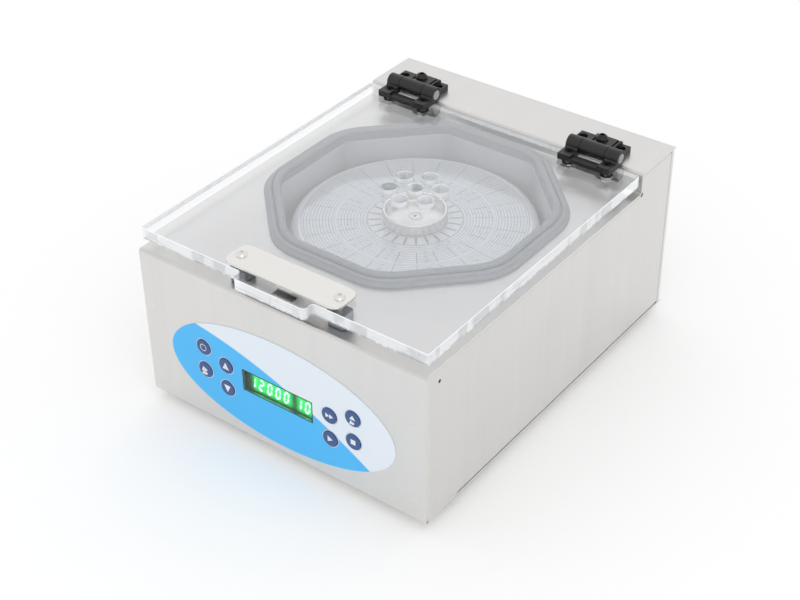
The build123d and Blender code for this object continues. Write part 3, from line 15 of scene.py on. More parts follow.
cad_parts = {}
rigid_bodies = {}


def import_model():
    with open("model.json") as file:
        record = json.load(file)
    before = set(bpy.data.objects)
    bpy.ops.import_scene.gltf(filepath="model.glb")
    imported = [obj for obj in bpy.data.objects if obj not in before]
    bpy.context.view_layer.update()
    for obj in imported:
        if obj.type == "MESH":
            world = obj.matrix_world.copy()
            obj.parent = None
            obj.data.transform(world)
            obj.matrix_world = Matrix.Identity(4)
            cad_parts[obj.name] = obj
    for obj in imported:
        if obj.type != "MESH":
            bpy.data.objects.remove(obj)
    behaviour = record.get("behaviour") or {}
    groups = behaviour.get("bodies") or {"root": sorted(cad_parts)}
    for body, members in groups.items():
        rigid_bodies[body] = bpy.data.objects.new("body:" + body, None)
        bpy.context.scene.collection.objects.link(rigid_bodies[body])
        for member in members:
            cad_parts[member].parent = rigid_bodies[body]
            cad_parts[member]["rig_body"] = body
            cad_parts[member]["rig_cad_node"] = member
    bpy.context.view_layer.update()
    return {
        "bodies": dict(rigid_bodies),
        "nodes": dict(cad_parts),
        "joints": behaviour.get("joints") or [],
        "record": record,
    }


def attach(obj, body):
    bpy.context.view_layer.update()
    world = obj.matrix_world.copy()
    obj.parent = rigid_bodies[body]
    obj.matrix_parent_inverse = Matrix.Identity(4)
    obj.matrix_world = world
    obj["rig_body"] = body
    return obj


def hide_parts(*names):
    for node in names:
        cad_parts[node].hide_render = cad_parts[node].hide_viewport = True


MM = 0.001
LOG = logging.getLogger("microcentrifuge")

Colour = tuple[float, float, float]
Point = tuple[float, float, float]


class Grain(Enum):
    """The direction that a brushed sheet's grain runs in."""

    FOLDED = (1.0, 0.012, 0.012)
    UPRIGHT_SIDE = (0.6, 1.0, 0.012)
    ACROSS = (0.012, 1.0, 1.0)
    TURNED = (0.3, 0.3, 1.0)


class Icon(Enum):
    """The printed sign on a key."""

    UP = "up"
    DOWN = "down"
    PLAY = "play"
    STOP = "stop"
    DIAL = "dial"
    LIST = "list"
    FAST = "fast"
    OPEN = "open"


# Shader graph


class Number:
    """A value on a shader socket that takes part in Python maths."""

    def __init__(self, graph: "Graph", socket: bpy.types.NodeSocket) -> None:
        """Wrap a socket of a graph."""
        self.graph = graph
        self.socket = socket

    def __add__(self, other: "Operand") -> "Number":
        """Sum."""
        return self.graph.maths("ADD", self, other)

    __radd__ = __add__

    def __sub__(self, other: "Operand") -> "Number":
        """Difference."""
        return self.graph.maths("SUBTRACT", self, other)

    def __rsub__(self, other: "Operand") -> "Number":
        """Reflected difference."""
        return self.graph.maths("SUBTRACT", other, self)

    def __mul__(self, other: "Operand") -> "Number":
        """Product."""
        return self.graph.maths("MULTIPLY", self, other)

    __rmul__ = __mul__

    def __truediv__(self, other: "Operand") -> "Number":
        """Quotient."""
        return self.graph.maths("DIVIDE", self, other)

    def __abs__(self) -> "Number":
        """Size without sign."""
        return self.graph.maths("ABSOLUTE", self)

    def root(self) -> "Number":
        """Square root."""
        return self.graph.maths("SQRT", self)

    def fraction(self) -> "Number":
        """The part after the whole number."""
        return self.graph.maths("FRACT", self)

    def angle_to(self, other: "Number") -> "Number":
        """Angle of the point (other, self), in radians."""
        return self.graph.maths("ARCTAN2", self, other)

    def over(self, edge: float, soft: float) -> "Number":
        """A mask that rises from 0 to 1 where this value passes an edge.

        Args:
            edge: value at the middle of the rise.
            soft: width of the rise.

        Returns:
            The mask.
        """
        return self.graph.ramp(self, edge - soft / 2, edge + soft / 2)

    def under(self, edge: float, soft: float) -> "Number":
        """A mask that is 1 below an edge and 0 above it."""
        return 1.0 - self.over(edge, soft)

    def near(self, middle: float, half: float, soft: float) -> "Number":
        """A mask of a band about a middle value."""
        return abs(self - middle).under(half, soft)


Operand = Union[Number, float]


class Graph:
    """A material's node tree, with one Principled shader."""

    def __init__(self, name: str) -> None:
        """Make an empty material of that name.

        Args:
            name: the material's name.
        """
        self.material = bpy.data.materials.new(name)
        self.material.use_nodes = True
        self.tree = self.material.node_tree
        self.tree.nodes.clear()
        self.output = self.tree.nodes.new("ShaderNodeOutputMaterial")
        self.shader = self.tree.nodes.new("ShaderNodeBsdfPrincipled")
        self.tree.links.new(self.shader.outputs[0], self.output.inputs["Surface"])
        self.place = self.node("ShaderNodeTexCoord").outputs["Object"]

    def node(self, kind: str, settings: Optional[dict[str, Any]] = None,
             values: Optional[dict[Any, Any]] = None) -> bpy.types.Node:
        """Add a node.

        Args:
            kind: the node's type.
            settings: its own properties, set first.
            values: numbers, colours or links of its sockets, by name or place.

        Returns:
            The node.
        """
        made = self.tree.nodes.new(kind)
        for key, value in (settings or {}).items():
            setattr(made, key, value)
        for key, value in (values or {}).items():
            self.feed(made.inputs[key], value)
        return made

    def feed(self, socket: bpy.types.NodeSocket, value: Any) -> None:
        """Set a socket to a constant, or link it.

        Args:
            socket: the input to fill.
            value: a constant, a Number or another socket.
        """
        if isinstance(value, Number):
            value = value.socket
        if isinstance(value, bpy.types.NodeSocket):
            self.tree.links.new(value, socket)
        elif isinstance(value, (tuple, list)) and socket.type == "RGBA":
            socket.default_value = (*value[:3], 1.0)
        else:
            socket.default_value = value

    def maths(self, operation: str, *values: Operand) -> Number:
        """A Math node's result.

        Args:
            operation: the node's operation.
            values: its inputs, in order.

        Returns:
            The result.
        """
        made = self.node("ShaderNodeMath", {"operation": operation}, dict(enumerate(values)))
        return Number(self, made.outputs[0])

    def ramp(self, value: Operand, low: float, high: float) -> Number:
        """A smooth rise from 0 at low to 1 at high.

        Args:
            value: the value that is mapped.
            low: where the rise starts.
            high: where it ends.

        Returns:
            The mask, 0 to 1.
        """
        made = self.node(
            "ShaderNodeMapRange",
            {"interpolation_type": "SMOOTHSTEP"},
            {"Value": value, "From Min": low, "From Max": high},
        )
        return Number(self, made.outputs[0])

    def millimetres(self, centre: Point = (0.0, 0.0, 0.0)) -> tuple[Number, Number, Number]:
        """Object coordinates in millimetres from a centre given in millimetres.

        Args:
            centre: the point that counts as zero.

        Returns:
            The place along x, y and z.
        """
        split = self.node("ShaderNodeSeparateXYZ", None, {0: self.place})
        parts = [Number(self, split.outputs[i]) / MM - centre[i] for i in range(3)]
        return parts[0], parts[1], parts[2]

    def noise(self, size: float, stretch: Point = (1.0, 1.0, 1.0), detail: float = 3.0,
              rough: float = 0.55) -> Number:
        """A noise pattern.

        Args:
            size: size of its largest blobs, in millimetres.
            stretch: factor on the pattern's frequency along each axis.
            detail: number of finer layers.
            rough: strength of the finer layers.

        Returns:
            The noise, about 0 to 1.
        """
        scale = tuple(factor / (size * MM) for factor in stretch)
        mapped = self.node("ShaderNodeMapping", None, {"Vector": self.place, "Scale": scale})
        made = self.node(
            "ShaderNodeTexNoise",
            None,
            {"Vector": mapped.outputs[0], "Scale": 1.0, "Detail": detail, "Roughness": rough},
        )
        return Number(self, made.outputs["Fac"])

    def blend(self, mask: Operand, first: Any, second: Any) -> bpy.types.NodeSocket:
        """A colour between two, by a mask.

        Args:
            mask: 0 for the first colour, 1 for the second.
            first: a colour or a colour socket.
            second: a colour or a colour socket.

        Returns:
            The blended colour's socket.
        """
        made = self.node("ShaderNodeMix", {"data_type": "RGBA"}, {0: mask, 6: first, 7: second})
        return made.outputs[2]

    def bump(self, height: Number, depth: float, strength: float = 1.0) -> None:
        """Let a height pattern, in millimetres of depth, shape the surface.

        Args:
            height: the pattern.
            depth: height of a full step, in millimetres.
            strength: share of it that is used.
        """
        made = self.node(
            "ShaderNodeBump", None, {"Height": height, "Distance": depth * MM, "Strength": strength}
        )
        self.feed(self.shader.inputs["Normal"], made.outputs[0])

    def mix_in(self, kind: str, mask: Number) -> None:
        """Mix another shader into the surface by a mask.

        Args:
            kind: the other shader's node type.
            mask: 0 for the Principled shader, 1 for the other.
        """
        other = self.node(kind)
        surfaces = {0: mask, 1: self.shader.outputs[0], 2: other.outputs[0]}
        made = self.node("ShaderNodeMixShader", None, surfaces)
        self.tree.links.new(made.outputs[0], self.output.inputs["Surface"])

    def set(self, **values: Any) -> None:
        """Set the Principled shader's sockets; underscores stand for spaces."""
        for key, value in values.items():
            self.feed(self.shader.inputs[key.replace("_", " ")], value)


def shade(colour: Colour, factor: float) -> Colour:
    """A colour made lighter or darker."""
    return tuple(min(1.0, part * factor) for part in colour)


# Finishes


@dataclass(frozen=True)
class Finish(ABC):
    """A surface finish."""

    name: str
    colour: Colour

    @abstractmethod
    def paint(self, graph: Graph) -> None:
        """Lay the finish's nodes in a graph.

        Args:
            graph: the node tree of the finish's material.
        """

    def material(self) -> bpy.types.Material:
        """The finish's material, made once.

        Returns:
            The material, which later pieces share.
        """
        known = bpy.data.materials.get(self.name)
        if known is not None:
            return known
        graph = Graph(self.name)
        self.paint(graph)
        return graph.material


@dataclass(frozen=True)
class BrushedSteel(Finish):
    """Stainless sheet with a fine grain and faint handling marks."""

    grain: Grain = Grain.FOLDED
    rough: float = 0.33
    metal: float = 0.9
    streak: float = 0.05
    hair: float = 0.55

    def paint(self, graph: Graph) -> None:
        """Grain in colour, roughness and relief, over soft cloudy marks.

        Args:
            graph: the node tree of the finish's material.
        """
        fine = graph.noise(self.hair, self.grain.value, 4.0, 0.65)
        broad = graph.noise(14.0, self.grain.value, 3.0, 0.6)
        cloud = graph.noise(60.0, (1.0, 1.0, 1.0), 3.0, 0.5)
        tone = (fine - 0.5) * 0.55 + (broad - 0.5) * 0.7 + (cloud - 0.5) * 0.6 + 0.5
        graph.set(
            Base_Color=graph.blend(
                tone, shade(self.colour, 1.0 - self.streak), shade(self.colour, 1.0 + self.streak)
            ),
            Metallic=self.metal,
            Roughness=(fine - 0.5) * 0.16 + (cloud - 0.5) * 0.12 + self.rough,
        )
        graph.bump(fine, 0.006, 0.35)


@dataclass(frozen=True)
class SatinMetal(Finish):
    """Turned, cast or plated metal with a fine even tooth."""

    rough: float = 0.3
    metal: float = 1.0
    tooth: float = 0.004

    def paint(self, graph: Graph) -> None:
        """Fine tooth and faint clouds.

        Args:
            graph: the node tree of the finish's material.
        """
        fine = graph.noise(0.35, (1.0, 1.0, 2.2), 3.0, 0.6)
        cloud = graph.noise(18.0, (1.0, 1.0, 1.0), 2.0, 0.5)
        graph.set(
            Base_Color=graph.blend(cloud, shade(self.colour, 0.94), shade(self.colour, 1.05)),
            Metallic=self.metal,
            Roughness=(fine - 0.5) * 0.1 + (cloud - 0.5) * 0.08 + self.rough,
        )
        graph.bump(fine, self.tooth, 0.5)


@dataclass(frozen=True)
class MouldedPlastic(Finish):
    """Moulded plastic or rubber with a fine skin."""

    rough: float = 0.45
    skin: float = 0.02
    grain_size: float = 0.5
    coat: float = 0.0

    def paint(self, graph: Graph) -> None:
        """A pebbled skin with a faint change of tone.

        Args:
            graph: the node tree of the finish's material.
        """
        pebble = graph.noise(self.grain_size, (1.0, 1.0, 1.0), 2.0, 0.5)
        cloud = graph.noise(25.0, (1.0, 1.0, 1.0), 3.0, 0.55)
        graph.set(
            Base_Color=graph.blend(cloud, shade(self.colour, 0.86), shade(self.colour, 1.14)),
            Roughness=(pebble - 0.5) * 0.14 + (cloud - 0.5) * 0.1 + self.rough,
            Coat_Weight=self.coat,
            Coat_Roughness=0.15,
        )
        graph.bump(pebble, self.skin, 0.6)


@dataclass(frozen=True)
class ClearSheet(Finish):
    """Polished face of thick clear sheet, which bends what lies behind it and lets light through."""

    index: float = 1.49
    mirror: float = 1.75

    def paint(self, graph: Graph) -> None:
        """Glass under a faintly mirroring skin, open to the light that falls through it.

        Args:
            graph: the node tree of the finish's material.
        """
        haze = graph.noise(35.0, (1.0, 1.0, 1.0), 4.0, 0.6)
        graph.set(
            Base_Color=self.colour,
            Transmission_Weight=1.0,
            IOR=self.index,
            Roughness=haze.over(0.6, 0.2) * 0.01,
            Coat_Weight=1.0,
            Coat_IOR=self.mirror,
            Coat_Roughness=0.02,
        )
        path = graph.node("ShaderNodeLightPath")
        light = graph.maths("MAXIMUM", path.outputs["Is Shadow Ray"], path.outputs["Is Diffuse Ray"])
        graph.mix_in("ShaderNodeBsdfTransparent", light)


@dataclass(frozen=True)
class PolishedEdge(Finish):
    """Cut and polished edge of clear sheet; the light it gathers from the room and the deck is painted on as
    a faint glow, a highlight line and dark reflections.
    """

    # colour of the painted dark reflections
    painted_reflection_tint: Colour = (0.55, 0.575, 0.61)
    low: float = 143.3
    high: float = 152.8

    def paint(self, graph: Graph) -> None:
        """A painted white highlight line at the top, a lower line of painted dark reflected dashes, and soft
        painted reflections in blocks between them, all over a faint painted glow.

        Args:
            graph: the node tree of the finish's material.
        """
        _, _, z = graph.millimetres()
        block = graph.noise(13.0, (1.0, 1.0, 0.3), 2.0, 0.5)
        dash = graph.noise(5.0, (1.0, 1.0, 0.5), 3.0, 0.7)
        line = graph.noise(1.6, (0.05, 0.05, 1.0), 2.0, 0.6)
        # top is a painted highlight line; dark gathers the painted dark reflections of the deck and the room
        top = z.over(self.high - 0.9, 0.5)
        foot = z.under(self.low + 1.3, 0.9)
        dark = block.over(0.55, 0.12) * 0.34 + line.over(0.6, 0.08) * 0.22
        dark = dark + foot * dash.over(0.47, 0.1) * 0.55
        dark = graph.maths("MINIMUM", dark, 0.9) * (1.0 - top)
        # painted glow: the edge emits faint white light, dimmer where the painted reflections are dark
        graph.set(
            Base_Color=graph.blend(dark, self.colour, self.painted_reflection_tint),
            Roughness=0.10 + block * 0.1,
            Coat_Weight=0.6,
            Coat_Roughness=0.05,
            Alpha=0.8 + top * 0.2 - dark * 0.15,
            Emission_Color=graph.blend(dark, (1.0, 1.0, 1.0), (0.3, 0.32, 0.36)),
            Emission_Strength=0.12,
        )


@dataclass(frozen=True)
class ScrewSet(Finish):
    """Bright screws whose heads are blackened behind a line across the lid."""

    bright: Colour = (0.86, 0.85, 0.84)
    behind: float = 90.0
    above: float = 153.0

    def paint(self, graph: Graph) -> None:
        """Black oxide where the screw stands behind the line and above the lid.

        Args:
            graph: the node tree of the finish's material.
        """
        _, y, z = graph.millimetres()
        black = y.over(self.behind, 1.0) * z.over(self.above, 0.1)
        fine = graph.noise(0.35, (1.0, 1.0, 2.2), 3.0, 0.6)
        graph.set(
            Base_Color=graph.blend(black, self.bright, self.colour),
            Metallic=1.0 - black * 0.35,
            Roughness=(fine - 0.5) * 0.1 + black * 0.1 + 0.17,
        )
        graph.bump(fine, 0.004, 0.5)


@dataclass(frozen=True)
class ReaderCover(Finish):
    """Clear moulded rotor cover with a printed reading chart."""

    ink: Colour = (0.085, 0.115, 0.18)
    line_ink: Colour = (0.20, 0.26, 0.36)
    centre: Point = (0.0, 0.25, 120.0)
    spokes: int = 24
    pitch: float = 2.35
    field_in: float = 36.0
    field_out: float = 84.5
    split: float = 60.5

    def paint(self, graph: Graph) -> None:
        """Rings, spokes and short hub marks printed on a clear, lightly hazed sheet.

        Args:
            graph: the node tree of the finish's material.
        """
        x, y, _ = graph.millimetres(self.centre)
        radius = (x * x + y * y).root()
        turn = y.angle_to(x) / (2 * math.pi) + 1.0
        middle, half = (self.field_in + self.field_out) / 2, (self.field_out - self.field_in) / 2
        in_field = radius.near(middle, half, 0.3) * (1.0 - radius.near(self.split, 1.2, 0.2))
        rings = abs((radius / self.pitch).fraction() - 0.5).under(0.13, 0.06) * in_field
        along = (turn * self.spokes).fraction() - 0.5
        to_spoke = abs(along) * radius * (2 * math.pi / self.spokes)
        hub_marks = to_spoke.under(0.85, 0.4) * radius.near(30.3, 4.6, 0.5)
        sector = abs((turn * 8.0).fraction() - 0.5).under(0.34, 0.02)
        outer = to_spoke.under(0.34, 0.25) * radius.near(73.0, 11.0, 0.4) * sector
        inner = to_spoke.under(0.34, 0.25) * radius.near(52.0, 7.0, 0.4)
        bounds = radius.near(85.2, 0.3, 0.2) + radius.near(35.6, 0.3, 0.2)
        bounds = bounds + radius.near(self.split, 0.2, 0.2)
        fine = graph.maths("MINIMUM", rings * 0.8 + bounds * 0.8, 1.0)
        bold = graph.maths("MINIMUM", hub_marks * 0.85 + (outer + inner) * 0.95, 1.0)
        haze = graph.noise(22.0, (1.0, 1.0, 1.0), 3.0, 0.5)
        lined = graph.blend(fine, self.colour, self.line_ink)
        shoulder = radius.over(86.0, 0.6)
        graph.set(
            Base_Color=graph.blend(bold, lined, self.ink),
            Metallic=0.2 - bold * 0.2,
            Roughness=(haze - 0.5) * 0.08 + 0.12,
            IOR=1.5,
            Alpha=fine * 0.2 + bold * 0.2 + shoulder * 0.12 + 0.68,
            Coat_Weight=1.0,
            Coat_Roughness=0.03,
        )
        graph.bump(haze, 0.05, 0.1)


@dataclass(frozen=True)
class OverlayPrint(Finish):
    """Printed polyester sheet: pale above a curved line, blue below it."""

    pale: Colour = (0.80, 0.865, 0.94)
    line: Colour = (0.56, 0.70, 0.84)
    anchor: tuple[float, float] = (5.0, 71.0)
    slope: float = 0.3885
    curve: float = 0.001575

    def paint(self, graph: Graph) -> None:
        """The two fields, a thin line between them and a fine film tooth.

        Args:
            graph: the node tree of the finish's material.
        """
        x, _, z = graph.millimetres()
        run = x - self.anchor[0]
        rise = z - (self.anchor[1] - run * self.slope - run * run * self.curve)
        cloud = graph.noise(45.0, (1.0, 1.0, 1.0), 3.0, 0.5)
        tooth = graph.noise(0.22, (1.0, 1.0, 1.0), 2.0, 0.5)
        blue = graph.blend(cloud, shade(self.colour, 0.97), shade(self.colour, 1.03))
        fields = graph.blend(rise.over(0.0, 0.25), blue, self.pale)
        graph.set(
            Base_Color=graph.blend(rise.near(-0.35, 0.35, 0.3), fields, self.line),
            Roughness=(tooth - 0.5) * 0.15 + 0.42,
            Coat_Weight=0.12,
            Coat_Roughness=0.3,
        )
        graph.bump(tooth, 0.008, 0.5)


@dataclass(frozen=True)
class SmokedLens(Finish):
    """Smoked window that lets the lit digits through."""

    def paint(self, graph: Graph) -> None:
        """Dark tint, a soft polish and a little haze.

        Args:
            graph: the node tree of the finish's material.
        """
        cloud = graph.noise(12.0, (1.0, 1.0, 1.0), 2.0, 0.5)
        graph.set(
            Base_Color=graph.blend(cloud, shade(self.colour, 0.9), shade(self.colour, 1.1)),
            Roughness=(cloud - 0.5) * 0.06 + 0.22,
            Alpha=0.36,
            IOR=1.49,
        )


@dataclass(frozen=True)
class DigitGlow(Finish):
    """Dark face of the display module, with green light spilled round the lit digits."""

    glow: Colour = (0.01, 0.75, 0.10)
    spans: tuple[tuple[float, float], ...] = ((-24.5, 6.0), (16.5, 25.5))
    middle_z: float = 59.9
    half_height: float = 4.0
    reach: float = 3.2

    def paint(self, graph: Graph) -> None:
        """Light falls off with distance from each group of digits.

        Args:
            graph: the node tree of the finish's material.
        """
        x, _, z = graph.millimetres()
        rise = graph.maths("MAXIMUM", abs(z - self.middle_z) - self.half_height, 0.0)
        light: Operand = 0.0
        for low, high in self.spans:
            run = graph.maths("MAXIMUM", abs(x - (low + high) / 2) - (high - low) / 2, 0.0)
            away = (run * run + rise * rise) / (self.reach * self.reach)
            light = graph.maths("EXPONENT", 0.0 - away) + light
        speck = graph.noise(0.8, (1.0, 1.0, 1.0), 2.0, 0.5)
        graph.set(
            Base_Color=graph.blend(speck, shade(self.colour, 0.8), shade(self.colour, 1.2)),
            Roughness=0.6,
            Emission_Color=graph.blend(light, (0.0, 0.0, 0.0), self.glow),
            Emission_Strength=2.6,
        )
        graph.bump(speck, 0.01, 0.4)


@dataclass(frozen=True)
class LitSegment(Finish):
    """A lit display segment, brighter along its middle."""

    strength: float = 7.0

    def paint(self, graph: Graph) -> None:
        """Green light with a faint unevenness.

        Args:
            graph: the node tree of the finish's material.
        """
        uneven = graph.noise(3.0, (1.0, 1.0, 1.0), 2.0, 0.5)
        graph.set(
            Base_Color=self.colour,
            Roughness=0.4,
            Emission_Color=graph.blend(uneven, shade(self.colour, 0.9), (0.45, 1.0, 0.55)),
            Emission_Strength=self.strength,
        )


@dataclass(frozen=True)
class CircuitBoard(Finish):
    """Green board with faint copper tracks."""

    def paint(self, graph: Graph) -> None:
        """Tracks as bands of two crossed noises under the green mask.

        Args:
            graph: the node tree of the finish's material.
        """
        along = graph.noise(2.2, (1.0, 0.06, 1.0), 1.0, 0.5).near(0.5, 0.03, 0.02)
        across = graph.noise(2.2, (0.06, 1.0, 0.06), 1.0, 0.5).near(0.5, 0.03, 0.02)
        tracks = graph.maths("MAXIMUM", along, across)
        graph.set(
            Base_Color=graph.blend(tracks, self.colour, shade(self.colour, 1.9)),
            Roughness=0.35 - tracks * 0.08,
        )
        graph.bump(tracks, 0.03, 0.5)


@dataclass(frozen=True)
class StudioFloor(Finish):
    """Plain pale floor."""

    def paint(self, graph: Graph) -> None:
        """Matte, with almost no gloss.

        Args:
            graph: the node tree of the finish's material.
        """
        cloud = graph.noise(400.0, (1.0, 1.0, 1.0), 2.0, 0.5)
        graph.set(
            Base_Color=graph.blend(cloud, shade(self.colour, 0.995), self.colour),
            Roughness=0.85,
            Specular_IOR_Level=0.1,
            Emission_Color=self.colour,
            Emission_Strength=0.12,
        )


CASE_SHEET = BrushedSteel("case_sheet", (0.725, 0.715, 0.70), Grain.FOLDED)
# Darker than the case sheet: the side panels carry painted shade.
SHADED_SIDE_SHEET = BrushedSteel("shaded_side_sheet", (0.70, 0.69, 0.675), Grain.UPRIGHT_SIDE, streak=0.07)
REAR_SHEET = BrushedSteel("rear_sheet", (0.725, 0.715, 0.70), Grain.FOLDED)
GRIP_SHEET = BrushedSteel("grip_sheet", (0.78, 0.765, 0.74), Grain.ACROSS, rough=0.24, metal=1.0)
CHAMBER_SHEET = BrushedSteel("chamber_sheet", (0.57, 0.60, 0.635), Grain.TURNED, rough=0.5, metal=0.35)
HUB_METAL = SatinMetal("hub_metal", (0.86, 0.85, 0.83), rough=0.28)
BRIGHT_SCREW = SatinMetal("bright_screw", (0.86, 0.85, 0.84), rough=0.16)
FLUSH_STUD = SatinMetal("flush_stud", (0.74, 0.73, 0.72), rough=0.32)
PIN_STEEL = SatinMetal("pin_steel", (0.52, 0.52, 0.52), rough=0.3)
BLACK_SCREW = SatinMetal("black_screw", (0.035, 0.035, 0.037), rough=0.24, metal=0.7)
DARK_IRON = SatinMetal("dark_iron", (0.10, 0.10, 0.11), rough=0.5, metal=0.8)
MOTOR_METAL = SatinMetal("motor_metal", (0.62, 0.63, 0.64), rough=0.38)
ROTOR_METAL = SatinMetal("rotor_metal", (0.80, 0.82, 0.84), rough=0.4, metal=0.35)
GASKET_RUBBER = MouldedPlastic("gasket_rubber", (0.215, 0.235, 0.262), rough=0.5, skin=0.015)
BLACK_RUBBER = MouldedPlastic("soft_rubber", (0.018, 0.018, 0.019), rough=0.62, skin=0.03)
HINGE_PLASTIC = MouldedPlastic("hinge_plastic", (0.014, 0.014, 0.015), rough=0.36, skin=0.02)
FITTING_PLASTIC = MouldedPlastic("fitting_plastic", (0.02, 0.02, 0.022), rough=0.42, skin=0.02)
KEY_FILM = MouldedPlastic("key_film", (0.030, 0.085, 0.26), rough=0.42, skin=0.008, grain_size=0.25, coat=0.1)
KEY_RIM = MouldedPlastic("key_rim", (0.62, 0.74, 0.90), rough=0.42, skin=0.008, grain_size=0.25)
WHITE_INK = MouldedPlastic("white_ink", (0.80, 0.83, 0.88), rough=0.5, skin=0.004, grain_size=0.2)
CHART_INK = MouldedPlastic("chart_ink", (0.12, 0.15, 0.21), rough=0.5, skin=0.004, grain_size=0.2)
LID_EDGE = PolishedEdge("lid_edge", (0.93, 0.95, 0.97))
LID_SCREWS = ScrewSet("lid_screw_set", (0.03, 0.03, 0.032))
LID_SHEET = ClearSheet("lid_sheet", (0.97, 0.98, 1.0))
ROTOR_COVER = ReaderCover("rotor_cover_print", (0.83, 0.855, 0.885))
OVERLAY = OverlayPrint("overlay_film", (0.055, 0.50, 0.97))
LENS = SmokedLens("lens_smoked", (0.085, 0.135, 0.115))
DISPLAY_FACE = DigitGlow("display_face", (0.012, 0.03, 0.018))
SEGMENT = LitSegment("lit_segment", (0.16, 1.0, 0.30))
BOARD = CircuitBoard("board_mask", (0.015, 0.13, 0.05))
FLOOR = StudioFloor("studio_floor", (0.99, 0.99, 0.99))


# Modelling


def only(piece: bpy.types.Object) -> None:
    """Select one object alone and make it active."""
    bpy.ops.object.select_all(action="DESELECT")
    piece.select_set(True)
    bpy.context.view_layer.objects.active = piece


def edit(piece: bpy.types.Object) -> bmesh.types.BMesh:
    """Enter edit mode on a piece with nothing selected.

    Args:
        piece: the object to edit.

    Returns:
        Its edit mesh.
    """
    only(piece)
    bpy.ops.object.mode_set(mode="EDIT")
    bpy.ops.mesh.select_mode(type="FACE")
    bpy.ops.mesh.select_all(action="DESELECT")
    return bmesh.from_edit_mesh(piece.data)


def pick_faces(piece: bpy.types.Object, wanted: Callable[[bmesh.types.BMFace], bool]) -> None:
    """Select the faces that a test accepts, in edit mode.

    Args:
        piece: the object in edit mode.
        wanted: the test.
    """
    mesh = bmesh.from_edit_mesh(piece.data)
    bpy.ops.mesh.select_all(action="DESELECT")
    for face in mesh.faces:
        if wanted(face):
            face.select_set(True)
    bmesh.update_edit_mesh(piece.data)


def leave_edit() -> None:
    """Go back to object mode."""
    bpy.ops.object.mode_set(mode="OBJECT")


def settle(piece: bpy.types.Object) -> None:
    """Put a piece's place, turn and scale into its mesh."""
    only(piece)
    bpy.ops.object.transform_apply(location=True, rotation=True, scale=True)


def add_modifier(piece: bpy.types.Object, kind: str, **settings: Any) -> None:
    """Add a modifier and apply it.

    Args:
        piece: the object.
        kind: the modifier's type.
        settings: its properties.
    """
    only(piece)
    modifier = piece.modifiers.new(kind.lower(), kind)
    for key, value in settings.items():
        setattr(modifier, key, value)
    bpy.ops.object.modifier_apply(modifier=modifier.name)


def smooth(piece: bpy.types.Object, degrees: float = 35.0) -> None:
    """Shade smooth up to an angle."""
    only(piece)
    bpy.ops.object.shade_smooth_by_angle(angle=math.radians(degrees))


def join(pieces: list[bpy.types.Object], name: str) -> bpy.types.Object:
    """Join meshes into one named piece.

    Args:
        pieces: the meshes.
        name: the piece's name.

    Returns:
        The joined piece.
    """
    bpy.ops.object.select_all(action="DESELECT")
    for piece in pieces:
        piece.select_set(True)
    bpy.context.view_layer.objects.active = pieces[0]
    if len(pieces) > 1:
        bpy.ops.object.join()
    made = bpy.context.view_layer.objects.active
    made.name = name
    made.data.name = name
    return made


def copy_of(piece: bpy.types.Object) -> bpy.types.Object:
    """A copy with a mesh of its own.

    Args:
        piece: the object to copy.

    Returns:
        The copy, which rides on nothing yet.
    """
    made = piece.copy()
    made.data = piece.data.copy()
    made.parent = None
    bpy.context.scene.collection.objects.link(made)
    return made


def printed_shape(corners: int, radius: float, centre: Point, turn: float = 0.0, thick: float = 0.12,
                  stretch: tuple[float, float] = (1.0, 1.0)) -> bpy.types.Object:
    """A thin raised print on the front, from a filled circle of few corners.

    Args:
        corners: number of corners.
        radius: radius to the corners, in millimetres.
        centre: middle of its back face, in millimetres.
        turn: turn in the plane, in degrees.
        thick: height of the print.
        stretch: factors on its width and height.

    Returns:
        The print, facing the front.
    """
    bpy.ops.mesh.primitive_circle_add(vertices=corners, radius=radius * MM, fill_type="NGON")
    piece = bpy.context.active_object
    settle_turn = Matrix.Rotation(math.radians(turn), 4, "Z")
    flatten = Matrix.Diagonal((stretch[0], stretch[1], 1.0, 1.0))
    upright = Matrix.Rotation(math.radians(90), 4, "X")
    place = Matrix.Translation(Vector(centre) * MM)
    piece.matrix_world = place @ upright @ flatten @ settle_turn
    settle(piece)
    edit(piece)
    bpy.ops.mesh.select_all(action="SELECT")
    bpy.ops.mesh.extrude_region_move(TRANSFORM_OT_translate={"value": (0.0, -thick * MM, 0.0)})
    leave_edit()
    edit(piece)
    bpy.ops.mesh.select_all(action="SELECT")
    bpy.ops.mesh.normals_make_consistent(inside=False)
    leave_edit()
    add_modifier(piece, "BEVEL", width=thick * 0.3 * MM, segments=1, limit_method="ANGLE")
    return piece


def printed_ring(outer: float, width: float, centre: Point, thick: float) -> bpy.types.Object:
    """A raised ring on the front, from a circle that is inset and opened.

    Args:
        outer: outer radius, in millimetres.
        width: width of the ring.
        centre: middle of its back face.
        thick: height of the ring.

    Returns:
        The ring, facing the front.
    """
    bpy.ops.mesh.primitive_circle_add(vertices=72, radius=outer * MM, fill_type="NGON")
    piece = bpy.context.active_object
    upright = Matrix.Rotation(math.radians(90), 4, "X")
    piece.matrix_world = Matrix.Translation(Vector(centre) * MM) @ upright
    settle(piece)
    edit(piece)
    bpy.ops.mesh.select_all(action="SELECT")
    bpy.ops.mesh.inset(thickness=width * MM)
    pick_faces(piece, lambda face: len(face.verts) > 8)
    bpy.ops.mesh.delete(type="FACE")
    bpy.ops.mesh.select_all(action="SELECT")
    bpy.ops.mesh.extrude_region_move(TRANSFORM_OT_translate={"value": (0.0, -thick * MM, 0.0)})
    bpy.ops.mesh.select_all(action="SELECT")
    bpy.ops.mesh.normals_make_consistent(inside=False)
    leave_edit()
    add_modifier(piece, "BEVEL", width=thick * 0.4 * MM, segments=2, limit_method="ANGLE")
    smooth(piece)
    return piece


def wear(piece: bpy.types.Object, finish: Finish) -> None:
    """Give a piece one finish all over."""
    piece.data.materials.clear()
    piece.data.materials.append(finish.material())


